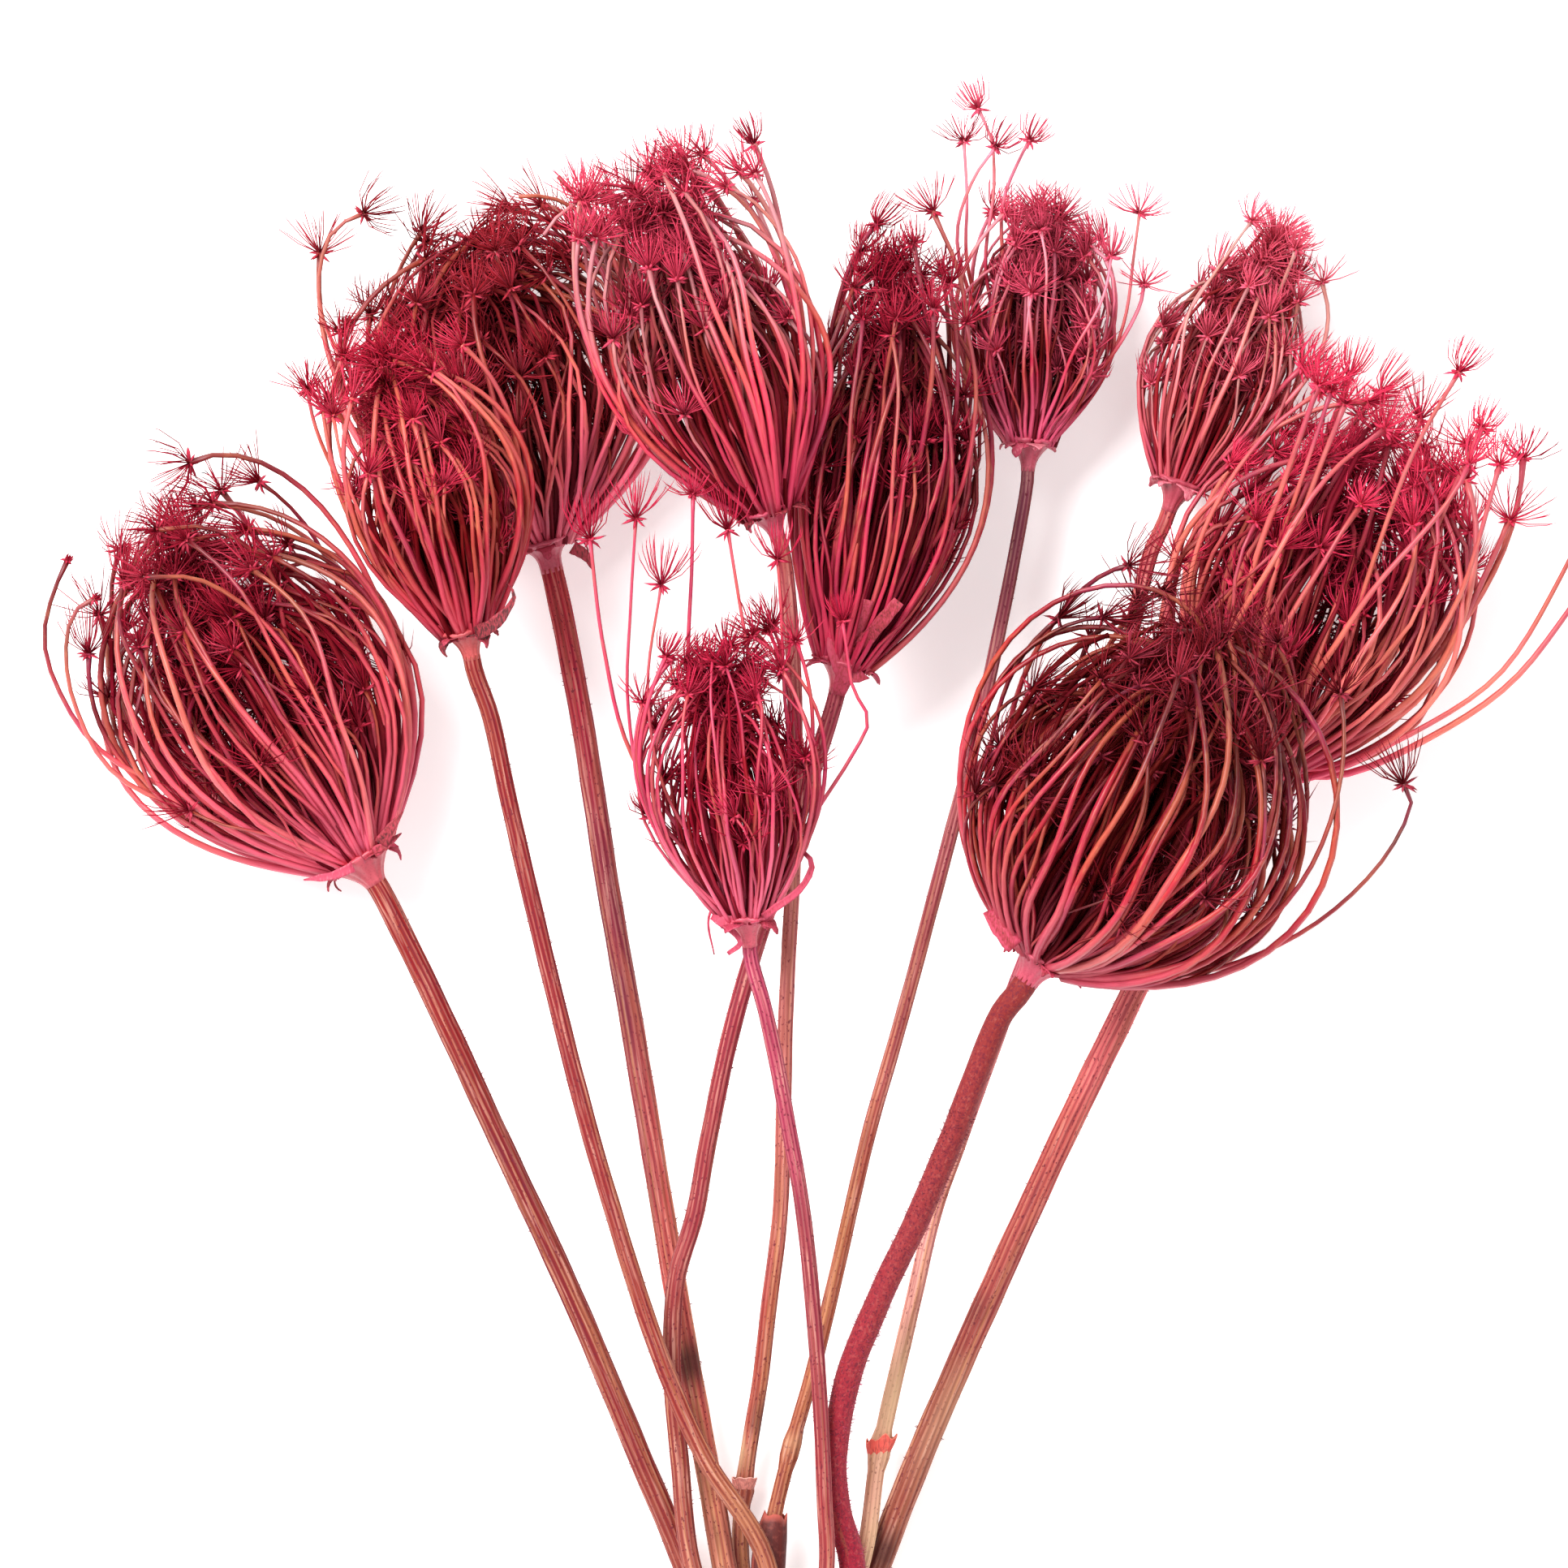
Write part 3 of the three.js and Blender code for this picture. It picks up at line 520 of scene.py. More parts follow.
def sheath(line, torn, draw):
    """A torn leaf base: a thin sheet wrapped round the stem between two heights along y.

    At share s down it and a turns round it, it stands reach(s) + 0.35 a off the stem's middle line,
    where a goes from 0 to 1 + overlap. Its top edge is torn by ragged and rises by slant to +X.
    """
    s = np.linspace(0, 1, 14)[:, None]
    a = np.linspace(0, 1 + torn["overlap"], 30)[None]
    waves = draw.uniform(0, 6, 4)
    edge = torn["ragged"] * sum(np.sin((2 * k + 3) * a * 5 + waves[k]) for k in range(4)) * (1 - s) ** 2
    angle = torn["open_at"] + 2 * np.pi * a
    rise = edge + torn["slant"] * np.cos(angle) * (1 - 0.5 * s)
    y = torn["top"] + (torn["bottom"] - torn["top"]) * s + rise
    x, z = (np.interp(y, line[::-1, 1], line[::-1, k]) for k in (0, 2))
    ahead = np.interp(y - 1, line[::-1, 1], line[::-1, 0]) - x
    reach = np.interp(s, np.linspace(0, 1, len(torn["reach"])), torn["reach"])
    far = reach + 0.35 * a + 0.04 * np.sin(9 * angle)
    sideways = far * np.cos(angle)
    sheet = slab(np.stack([x + sideways, y + ahead * sideways, z + far * np.sin(angle)], axis=-1), 0.22)
    rim = np.maximum(np.exp(-a / 0.025), np.exp((a - a.max()) / 0.025)) + np.exp(-s / 0.05)
    sheet["marks"] = dict(shade=np.stack([rim, rim]), grain=sheet["corners"])
    sheet["finish"] = 2
    return sheet


def hair_finish(name, row):
    """Dyed hairs: one dye, or the velvet's below the cup, from dull to lively from hair to hair."""
    material, tree, hair = new_finish(name, 0.8)
    colour = ramp(tree, marked(tree, "along"), [(0.15, HAIR_DYE), (0.3, row.get("velvet", HAIR_DYE))])
    dull = mixed(tree, 0.6, colour, dye("6a1c30"))
    lay_on(tree, hair, mixed(tree, ranged(tree, marked(tree, "tint"), 0.1, 0.9), dull, colour))
    return material


def sheath_finish(name, code, rim):
    """A dry leaf base: veined, mottled, and of another colour along its torn edges."""
    material, tree, leaf = new_finish(name, 0.65)
    grain = marked(tree, "grain")
    veins = noise(tree, grain, (2.4, 0.15, 2.4), 3.0)
    blotch = noise(tree, grain, (0.9, 0.9, 0.9), 2.0)
    dark = mixed(tree, 0.5, dye(code), dye("4a1a1c"))
    colour = mixed(tree, ranged(tree, veins, 0.55, 0.4, 0.0, 0.8), dye(code), dark)
    colour = mixed(tree, ranged(tree, blotch, 0.5, 0.7, 0.0, 0.25), colour, dye(rim))
    colour = mixed(tree, ranged(tree, marked(tree, "shade"), 0.3, 0.9), colour, dye(rim))
    lay_on(tree, leaf, colour, veins, 0.5, 0.0002)
    return material


for number, row in enumerate(STEMS, 1):
    draw = np.random.default_rng(number)
    bar, line, gone = stem_bar(number, row, draw)
    parts = [bar, stem_hairs(row, bar, line, gone, draw)]
    finishes = [stem_finish(f"dyed bark {number}", row), hair_finish(f"dyed hairs {number}", row)]
    for torn in SHEATHS:
        if torn["stem"] == number:
            parts.append(sheath(line, torn, draw))
            finishes.append(sheath_finish(f"dry sheath {number}", *torn["dye"]))
    build_piece(f"dyed_stem_{number}", parts, finishes, f"stem_{number}")

# The umbels. Each grew as one piece: a flared cup with torn bracts, long rays that have dried into a
# bird's nest, and at each ray's tip an umbellet, which is a small star of bracteoles and a broom of
# bare flower stalks. Its rays are whole ones, which make its outline, short ones that end within it,
# those of them that end at its underside, and inner ones near its axis, which carry no broom and are
# coloured all in painted shade. The deeper rays and stalks lie in the nest, the more painted shade
# their finishes give them.
ROOT_SINK = 1.2
GOLDEN_ANGLE = 2.399963
SHORT_SHARE = 0.8
INNER_SHARE = 0.55
BARE_SHARE = 0.05
RAY_POINTS = 21
RAY_FINE = 3
RAY_SIDES = 5
# By kind of ray: it keeps one in so many of its points, and twice as many of them in a nest as wide
# as WIDE_NEST.
RAY_SKIP = {"whole": 1, "short": 2, "under": 4, "inner": 4}
WIDE_NEST = 40.0
# A broom's number of stalks, and the shares of a stalk's length that it has points at.
STALKS = {"whole": 26, "short": 30, "under": 12}
STALK_SHARES = {"whole": (0, 0.38, 0.8, 1), "short": (0, 0.62, 1), "under": (0, 0.62, 1)}
STALK_RADIUS = 0.145
BRACTEOLES = 8
CUP_SIDES = 60
FLAP_STATIONS = 11

# height, width (half of it) and flat: the nest's size. leave, curl and bend: how its outer rays leave
# the cup and close over it, in degrees. drift: how far their tips go sideways. cup and flare: the
# cup's radius, and how late it widens. rays and ray: their number, and a ray's radius at its root.
# reach: a stalk's length. bract: the torn bracts' tint, from dark to pale. hue: colours of the cup,
# of the rays at the root, halfway and at the tip, of the stalks outside, and the dark red of the
# painted shade deep in the nest, which some stalks also have at random. strays: single rays that
# stand off, each with its broom's share of full size, its tip's height over the cup, and its route.
UMBELS = [
    dict(height=82, width=35.2, flat=0.78, leave=46, curl=75, bend=1.6, drift=-2, cup=7.8, flare=1.6,
         rays=159, ray=0.82, reach=11.5, bract=0.35,
         hue=("c8545e", "f4647e", "e2505e", "680b17", "a81832", "6a0719"),
         strays=[(0.2, 14, [(-150, 180), (-161, 195), (-164, 206), (-162, 216), (-158.6, 223.6)]),
                 (0.2, 22, [(-147, 175), (-157, 191), (-159, 204), (-157, 212), (-152.3, 215)]),
                 (1.0, 10, [(-87.5, 186), (-89, 211), (-102, 234.5), (-114.5, 244.5), (-125, 247),
                            (-132, 245)]),
                 (1.0, 26, [(-127, 175), (-140.5, 195), (-147, 209), (-146, 219)]),
                 (1.0, 24, [(-109, 200), (-114.5, 222), (-127, 230.5), (-139, 230)]),
                 (0.8, 36, [(-94.7, 168), (-102, 189.5), (-114.5, 209), (-129, 219), (-141.5, 219.5)])]),
    dict(height=63, width=21.5, flat=0.86, leave=38, curl=70, bend=1.5, drift=-5, cup=6.2, flare=2.4,
         rays=123, ray=0.77, reach=9.8, bract=0.1,
         hue=("bc4f4c", "cd384d", "aa1b2b", "d9635c", "c82342", "60070d"),
         strays=[]),
    dict(height=71, width=37.5, flat=0.7, leave=46, curl=66, bend=1.6, drift=0, cup=7.8, flare=4.0,
         rays=159, ray=0.79, reach=10.9, bract=0.3,
         hue=("c4566a", "f76c86", "f76770", "7b191d", "a01e2a", "560a14"),
         strays=[(1.0, 12, [(-84, 250), (-102, 276), (-103, 288), (-99.7, 297), (-93, 300.5)]),
                 (0.0, 20, [(-35, 270), (-37.6, 290), (-45, 300.5), (-52.4, 304), (-58.7, 304)]),
                 (0.0, 18, [(-30, 276), (-36, 292), (-44, 302), (-50, 308.5)]),
                 (1.0, 24, [(-58, 255), (-59, 276), (-64, 292)]),
                 (0.7, 8, [(-80, 245), (-97.4, 254), (-100.6, 259)])]),
    dict(height=76, width=25, flat=0.86, leave=42, curl=72, bend=1.5, drift=2, cup=6.6, flare=2.2,
         rays=143, ray=0.76, reach=9.8, bract=0.2,
         hue=("c04a60", "e24164", "e13651", "c37b81", "dd3e5d", "500707"),
         strays=[(1.0, 14, [(4, 247), (3.4, 272), (-6.5, 299), (-15.5, 307), (-21, 309.5)]),
                 (0.9, 14, [(-33, 255), (-39, 276), (-37.6, 292), (-34.4, 300.5), (-31.7, 303.7)]),
                 (0.9, 20, [(6, 261), (3.4, 288), (-6.5, 302), (-12.8, 305.5)]),
                 (0.0, 10, [(-22, 285), (-32, 299.5), (-40, 304), (-49, 300), (-53, 295)])]),
    dict(height=86, width=22.5, flat=0.82, leave=42, curl=62, bend=1.4, drift=-9, cup=6.3, flare=2.2,
         rays=143, ray=0.73, reach=9.2, bract=0.35,
         hue=("c45062", "d33558", "b3193c", "892c3b", "ad1835", "480711"),
         strays=[(1.0, 4, [(8.8, 261), (11.5, 279), (16, 292), (20.5, 298)]),
                 (0.8, 8, [(12, 250), (13, 272), (17, 287)]),
                 (1.0, 2, [(40, 261), (39.4, 285), (33, 301)]),
                 (1.0, 10, [(30, 250), (31.5, 274), (28.6, 293.8)]),
                 (1.0, 16, [(35, 240), (38.5, 266), (36.7, 284.6)]),
                 (1.0, 22, [(38, 236), (42.5, 260), (40.3, 276)]),
                 (1.0, 18, [(20, 244), (22.5, 264), (24.9, 277)]),
                 (1.0, 8, [(12, 246), (14.5, 268), (21.4, 283.8)]),
                 (1.0, 24, [(28, 238), (32.5, 262), (33.1, 279)])]),
    dict(height=49, width=19.5, flat=0.86, leave=36, curl=60, bend=1.6, drift=0, cup=5.8, flare=2.2,
         rays=108, ray=0.58, reach=8.6, bract=0.75,
         hue=("c45a6c", "f7648a", "c0183c", "e68095", "e04c6a", "540708"),
         strays=[(1.0, 8, [(44.8, 288), (46.6, 306), (46, 317), (43, 324)]),
                 (0.9, 4, [(41, 288), (40.7, 304.5), (40, 317)]),
                 (0.9, 10, [(38.5, 294), (42, 308), (47.2, 315.4)]),
                 (1.0, 6, [(48.4, 301), (52, 312), (54.7, 317)]),
                 (1.0, 4, [(69, 262), (75.4, 276), (77.8, 292), (79, 301)]),
                 (0.8, 8, [(72, 268), (79, 280), (80, 285)])]),
    dict(height=60, width=21, flat=0.86, leave=36, curl=60, bend=1.5, drift=0, cup=5.8, flare=2.6,
         rays=108, ray=0.57, reach=8.6, bract=0.5,
         hue=("d05768", "f76f8c", "c03054", "d53c5e", "c22144", "7b081a"),
         strays=[(1.4, 16, [(-30, 170), (-34.4, 191), (-33.8, 213), (-32.6, 232.6)]),
                 (1.3, 12, [(-33.5, 180), (-39.8, 204), (-42.8, 228)]),
                 (1.3, 20, [(-26, 172), (-30, 195), (-27, 218)]),
                 (0.8, 14, [(-18, 180), (-21, 198), (-20.3, 222), (-20, 238)]),
                 (1.2, 18, [(-8, 180), (-7.4, 198), (-10, 215), (-12.4, 230)]),
                 (1.1, 14, [(1, 175), (0, 195), (-0.7, 213), (-1.4, 223.6)]),
                 (0.9, 2, [(8.8, 170.5), (15.1, 180.4), (18.6, 188), (15.2, 195), (13.9, 203),
                          (12.9, 210)])]),
    dict(height=82, width=43.5, flat=0.78, leave=70, curl=98, bend=1.15, drift=-9, cup=8.2, flare=2.4,
         rays=212, ray=0.86, reach=12.6, bract=0.35,
         hue=("c24c60", "ca4c5e", "b41a2a", "5a0a14", "801220", "4b070b"),
         strays=[(1.0, 8, [(87, 131.5), (114, 141), (132, 157), (138.4, 170.5), (136.6, 174)])]),
    dict(height=58, width=19, flat=0.72, leave=36, curl=70, bend=1.4, drift=2, cup=5.8, flare=2.2,
         rays=113, ray=0.60, reach=8.6, bract=0.8,
         hue=("b44c5a", "d15868", "f77c85", "bf8d89", "ee617a", "7f0717"),
         strays=[(0.9, 10, [(100, 262), (107, 276), (112, 288), (114, 293)]),
                 (0.9, 12, [(108, 255), (118.6, 268), (121, 278), (119.5, 285.7)])]),
    dict(height=86, width=36, flat=0.78, leave=52, curl=55, bend=1.5, drift=0, cup=7.8, flare=2.4,
         rays=151, ray=0.86, reach=10.9, bract=0.3,
         hue=("b44c5a", "f75073", "f77c6c", "bc4457", "ec345a", "6d081e"),
         strays=[(1.0, 36, [(104, 205), (108, 222), (114, 240), (121, 261)]),
                 (0.8, 34, [(107, 205), (111, 222), (117, 240), (124, 258)]),
                 (0.8, 38, [(101, 203), (104, 222), (111, 242), (118, 262)]),
                 (1.0, 40, [(121, 195), (130, 222), (139, 247), (149, 265)]),
                 (1.0, 26, [(128.5, 193), (144.7, 231), (154.6, 253)]),
                 (1.0, 16, [(125, 184), (141, 193), (153.7, 216.4), (161, 232.6)]),
                 (1.0, 12, [(122, 178), (141, 186), (159, 198.5), (173, 221), (179, 234)]),
                 (0.0, 8, [(124, 176), (143, 184), (161, 196), (174, 212), (183, 226)])]),
]

# Torn bracts that stand out from the rest: the umbel, the width along the flap, its tint from dark to
# pale, and its route.
FLAPS = [
    dict(umbel=1, width=(3.2, 2.6, 1.4, 0.1), tint=0.1,
         route=[(-89.4, 160.6, 36), (-87, 164.4, 38), (-84.4, 167.8, 38)]),
    dict(umbel=1, width=(2.4, 1.8, 0.2), tint=0.2,
         route=[(-91, 158.6, 35), (-88, 160.6, 36), (-84.8, 163, 35)]),
    dict(umbel=1, width=(2.4, 2.0, 1.5, 0.3), tint=0.5,
         route=[(-95.5, 155.5, 34), (-100, 153.6, 34), (-106.6, 152.6, 32)]),
    dict(umbel=2, width=(3.2, 3.2, 2.2, 1.0, 0.2), tint=0.02,
         route=[(-68, 207.2, 63), (-64.4, 208.8, 67), (-61, 212.2, 68), (-59.4, 215.6, 67),
                (-60.8, 218, 66)]),
    dict(umbel=2, width=(2.0, 1.4, 0.2), tint=0.1,
         route=[(-71.5, 206.5, 60), (-74, 205.6, 60), (-76, 204.6, 58)]),
    dict(umbel=3, width=(3.0, 2.2, 0.4), tint=0.15,
         route=[(-47, 226.5, 28), (-44, 224.5, 28), (-42.4, 221.5, 28)]),
    dict(umbel=3, width=(2.6, 1.8, 0.4), tint=0.2,
         route=[(-56, 226.5, 28), (-59.4, 225.8, 27), (-60.5, 223, 26)]),
    dict(umbel=5, width=(2.2, 2.3, 2.1), tint=0.3,
         route=[(15.6, 205, 41), (17, 209.6, 45), (18.6, 214.6, 48)]),
    dict(umbel=5, width=(3.2, 3.1, 2.9), tint=0.2,
         route=[(16.4, 203.6, 41), (20.6, 208.6, 46), (25.4, 214.3, 50)]),
    dict(umbel=5, width=(3.6, 4.8, 4.0, 3.0), tint=0.36,
         route=[(11.2, 206.6, 41), (12, 202.6, 41), (13.2, 198, 40), (12, 193.6, 38)]),
    dict(umbel=5, width=(4.6, 3.0, 0.1), tint=0.3,
         route=[(13.6, 198.4, 39), (16.4, 197.8, 39), (19, 197.3, 38)]),
    dict(umbel=7, width=(1.6, 1.5, 1.4, 1.3, 0.9), tint=0.42,
         route=[(-4.5, 144.6, 60), (-1.6, 146.8, 62), (2.4, 149.6, 62), (5.2, 153, 61), (6.2, 156.6, 60),
                (4.4, 158.8, 59)]),
    dict(umbel=7, width=(2.4, 2.8, 1.2), tint=0.5,
         route=[(-11, 143.6, 58), (-13.6, 143.7, 58), (-16, 144.6, 57)]),
    dict(umbel=7, width=(1.4, 1.2, 1.3, 0.9), tint=0.55,
         route=[(-13.7, 142.8, 57), (-11.4, 141.4, 57), (-9.6, 138.8, 57), (-12.4, 136.4, 55)]),
    dict(umbel=7, width=(0.6, 0.5, 0.3), tint=0.4,
         route=[(-15.4, 148, 57), (-16.7, 143.6, 57), (-15.4, 136.2, 54)]),
    dict(umbel=8, width=(4.0, 3.8, 3.0), tint=0.3,
         route=[(51, 138, 66), (47.6, 142, 66), (45.2, 146, 64)]),
    dict(umbel=8, width=(2.6, 1.8, 0.3), tint=0.4,
         route=[(62.5, 134, 58), (64.2, 131.4, 58), (65.6, 128.8, 57)]),
    dict(umbel=10, width=(2.6, 1.8, 0.3), tint=0.3,
         route=[(106, 174, 26), (109, 172.4, 26), (111, 169.6, 26)]),
]


def nest_lines(umbel, draw):
    """The rays of a nest in the umbel's own frame, with +Y along its axis, their shares of a whole
    ray's length, and which are inner ones.

    Ray k stands in the cup at the golden angle times k, at a distance that goes as the root of k. At
    its share t it slants from the axis by leave - (leave + curl) (long t)^bend - hook t^4, where long is
    1 for a whole ray and the hook is 0. Its points are the running sum of the sine and cosine of the
    slant, scaled as the whole ray that fits the nest's width and height, and moved sideways by
    drift (long t)^3.
    """
    inner_rays = int(INNER_SHARE * umbel["rays"])
    count = umbel["rays"] + inner_rays
    k = np.arange(count)[:, None]
    around = GOLDEN_ANGLE * k + draw.normal(0, 0.12, (count, 1))
    root = 0.95 * umbel["cup"] * np.sqrt((k + 0.5) / count)
    place = (draw.permutation(count)[:, None] + 0.5) / count
    inner = draw.permutation(count)[:, None] < inner_rays
    whole = (place >= SHORT_SHARE + 0.11 * np.cos(around)) & ~inner
    long = np.where(whole, 1.0, 0.3 + 0.66 * np.minimum(1, place / SHORT_SHARE) ** 0.8)
    long = np.where(inner, 0.6 + 0.4 * place, long)
    hook = np.radians(np.where(whole, 0.0, draw.uniform(5, 65, (count, 1))))
    lobes = draw.uniform(0, 2 * np.pi, 4)
    uneven = 1 + 0.03 * np.sin(3 * around + lobes[0]) + 0.03 * np.sin(8 * around + lobes[1])
    loose = draw.uniform(-1, 1, (6, count, 1))
    shell = np.where(whole, 0.97 + 0.05 * loose[0], 1 - 0.6 * np.abs(loose[0]) ** 2)
    shell = np.where(inner, 0.35 + 0.5 * np.abs(loose[0]) ** 0.7, shell)
    width = umbel["width"] * uneven * shell
    height = umbel["height"] * (0.93 + 0.12 * loose[1])
    leave = np.radians(umbel["leave"]) * (0.4 + 0.58 * shell) * (1 + 0.08 * loose[2])
    curl = np.radians(umbel["curl"]) * (0.8 + 0.5 * loose[3])
    bend = umbel["bend"] * (1 + 0.2 * loose[4])
    t = np.linspace(0, 1, RAY_FINE * (RAY_POINTS - 1) + 1)[None]

    def reached(slant, length):
        """How far out and up a ray of this slant has come at each of its points."""
        steps = (slant[:, 1:] + slant[:, :-1]) / 2
        sides = np.stack([np.sin(steps), np.cos(steps)]) * length / steps.shape[1]
        return np.cumsum(np.pad(sides, ((0, 0), (0, 0), (1, 0))), axis=2)

    full_out, full_up = reached(leave - (leave + curl) * t**bend, 1.0)
    out, up = reached(leave - (leave + curl) * (long * t) ** bend - hook * t**4, long)
    swell = np.maximum(full_out.max(axis=1), -3 * full_out.min(axis=1))[:, None]
    out = root + (np.maximum(width, root) - root) * out / swell
    up = height * up / full_up.max(axis=1, keepdims=True) - ROOT_SINK * (1 - t)
    wave = 0.03 * np.sin(7 * t + 5 * around) + 0.02 * np.sin(13 * t + 11 * around)
    turned = around + 0.5 * loose[5] * t**2 + wave * np.minimum(1, 4 * t)
    drift = umbel["drift"] + draw.normal(0, 1.5, (count, 1))
    sideways = out * np.sin(turned) + drift * (long * t) ** 3
    lines = np.stack([sideways, up, out * umbel["flat"] * np.cos(turned)], axis=-1)
    return lines[:, ::RAY_FINE], long[:, 0], inner[:, 0]


def stray_lines(row, umbel, place):
    """Single rays through the points of their routes, which rise from the cup to the tip as the 0.6
    power of the share."""
    lines = []
    for _, lift, route in umbel["strays"]:
        route = np.array([place[:2] + 0.6 * umbel["cup"] * unit(np.array(route[0]) - place[:2]), *route])
        rise = row["neck"] + lift * np.linspace(0, 1, len(route)) ** 0.6
        lines.append(smooth_line(np.column_stack([route, rise]), RAY_POINTS))
    return np.array(lines).reshape(-1, RAY_POINTS, 3)


def umbellets(tips, ways, sizes, reach, deep, kind, draw):
    """The stalks and bracteoles about each ray's tip.

    A stalk leaves at a polar angle from the ray's own way and ends at another one, and its slope turns
    evenly between them: point(t) = tip + length (t d0 + t^2 (d1 - d0) / 2). The polar angle of stalk k
    goes as the root of k up to the broom's widest, and shut is the share of it that the stalk has
    closed by its end. A bracteole is the same with a wide angle, short, and in a ring of BRACTEOLES.
    """
    count, number = len(tips), STALKS[kind]
    side = unit(np.cross(ways, np.where(np.abs(ways[:, 2:]) > 0.9, [[1.0, 0, 0]], [[0, 0, 1.0]])))
    other = np.cross(ways, side)

    def towards(polar, azimuth):
        """The direction at a polar angle from the ray's way and an azimuth round it."""
        flat = np.cos(azimuth)[..., None] * side[:, None] + np.sin(azimuth)[..., None] * other[:, None]
        return np.cos(polar)[..., None] * ways[:, None] + np.sin(polar)[..., None] * flat

    def fan(polar, last, azimuth, length, bend, shares):
        """The lines that leave at polar and end at last, and turn round by bend."""
        first = towards(polar, azimuth)[:, :, None]
        final = towards(last, azimuth + bend)[:, :, None]
        t = np.array(shares)[:, None]
        path = length[..., None, None] * (t * first + t**2 / 2 * (final - first))
        return (tips[:, None, None] + path).reshape(-1, len(shares), 3)

    k = np.arange(number) + 0.5
    shape = (count, number)
    widest = np.radians(draw.uniform(55, 105, (count, 1)))
    polar = widest * np.sqrt(k / number) + draw.normal(0, 0.08, shape)
    azimuth = GOLDEN_ANGLE * k + draw.uniform(0, 6, (count, 1)) + draw.normal(0, 0.1, shape)
    shut = draw.uniform(0.15, 1.25, (count, 1))
    length = reach * (0.75 + 0.35 * polar / widest) * draw.uniform(0.82, 1.12, shape)
    length = length * draw.uniform(0.9, 1.25, (count, 1)) * sizes[:, None]
    shares = STALK_SHARES[kind]
    lines = fan(polar, polar * (1 - shut), azimuth, length, draw.normal(0, 0.65, shape), shares)
    thick = STALK_RADIUS * (1 + 1.2 * np.repeat(deep, number))
    stalks = spikes(lines, thick[:, None] * (1.1 - 0.35 * np.array(shares)))
    tint = 0.5 * draw.uniform(0, 1, (count, 1)) + 0.5 * draw.uniform(0, 1, shape)
    # Painted shade: the shade mark is how deep the broom lies in the nest.
    stalks["marks"] = dict(tint=tint.reshape(-1, 1), shade=np.repeat(deep, number)[:, None])
    stalks["finish"] = 1

    shape = (count, BRACTEOLES)
    azimuth = 2 * np.pi * np.arange(BRACTEOLES) / BRACTEOLES + draw.uniform(0, 6, (count, 1))
    azimuth = azimuth + draw.normal(0, 0.2, shape)
    polar = np.radians(draw.uniform(75, 130, shape))
    last = polar + np.radians(draw.uniform(-30, 30, shape))
    length = 0.31 * reach * draw.uniform(0.6, 1.25, shape) * np.maximum(0.5, sizes[:, None])
    lines = fan(polar, last, azimuth, length, draw.normal(0, 0.2, shape), (0, 0.6, 1))
    leaves = spikes(lines, np.array([[0.4, 0.34, 0.0]]))
    tint = draw.uniform(0.55, 1.0, (count * BRACTEOLES, 1))
    # Painted shade: bracteoles deep in the nest get a little of it.
    leaves["marks"] = dict(tint=tint, shade=0.3 * np.repeat(deep, BRACTEOLES)[:, None])
    leaves["finish"] = 1
    return [stalks, leaves]


def cup_part(row, umbel, draw):
    """The cup: the stem's radius at its foot flares as a power of the height to the rim, and it
    closes over the top as a low dome. The rim's radius and height waver, as torn."""
    heights = np.array([-7, -6, -5, -4, -3.2, -2.5, -1.8, -1.2, -0.6, -0.2, 0.2, 0.6, 0.9, 1.05])
    top = 1.06
    neck = row["radius"] * 0.97
    share = np.minimum(heights, 0) / CUP_DEPTH + 1
    flare = neck + (umbel["cup"] - neck) * share ** umbel["flare"]
    dome = umbel["cup"] * np.sqrt(np.maximum(0.004, 1 - (heights / top) ** 2))
    radius = np.where(heights > 0, dome, flare)
    angle = 2 * np.pi * np.arange(CUP_SIDES) / CUP_SIDES
    near_rim = np.clip(1 - np.abs(heights) / 1.6, 0, 1)[:, None]
    torn = sum(np.sin(k * angle + draw.uniform(0, 6)) / k**0.5 for k in (3, 5, 8, 13))
    ribs = 2 * np.abs(np.cos(row["ribs"] * angle / 2)) - 1
    reach = radius[:, None] * (1 + 0.04 * ribs * (heights < 0)[:, None]) + 0.42 * torn * near_rim
    line = heights[:, None] * (0, 1, 0)
    cup = bars(line[None], reach[None], CUP_SIDES, (0, 0, 1), (0.3 * np.roll(torn, 7) * near_rim)[None])
    flush = (0.25 * share - 0.35)[None, :, None]
    cup["marks"] = dict(along=flush, tint=0.6 + 0.1 * torn[None, None], grain=cup["corners"])
    return cup


def flap_part(flap, draw):
    """A flap along its route: at share s along it and t across it, it stands at
    line(s) + t width(s) / 2 across, and lifts at its long edges by a tenth of the width."""
    line = smooth_line(flap["route"], FLAP_STATIONS)
    across = unit(np.cross(unit(np.gradient(line, axis=0)), (0.15, 0.1, 1.0)))
    share = np.linspace(0, 1, FLAP_STATIONS)
    width = np.interp(share, np.linspace(0, 1, len(flap["width"])), flap["width"])
    width = (width * draw.uniform(0.88, 1.12, FLAP_STATIONS))[:, None, None]
    t = np.linspace(-1, 1, 5)[None, :, None]
    lift = 0.1 * width * t**2 * np.array([0, 0, 1.0])
    sheet = slab(line[:, None] + t * width / 2 * across[:, None] + lift, 0.28)
    tint = flap["tint"] + 0.1 * t[None, ..., 0] ** 2
    sheet["marks"] = dict(tint=tint, grain=sheet["corners"].copy())
    sheet["finish"] = 2
    return sheet


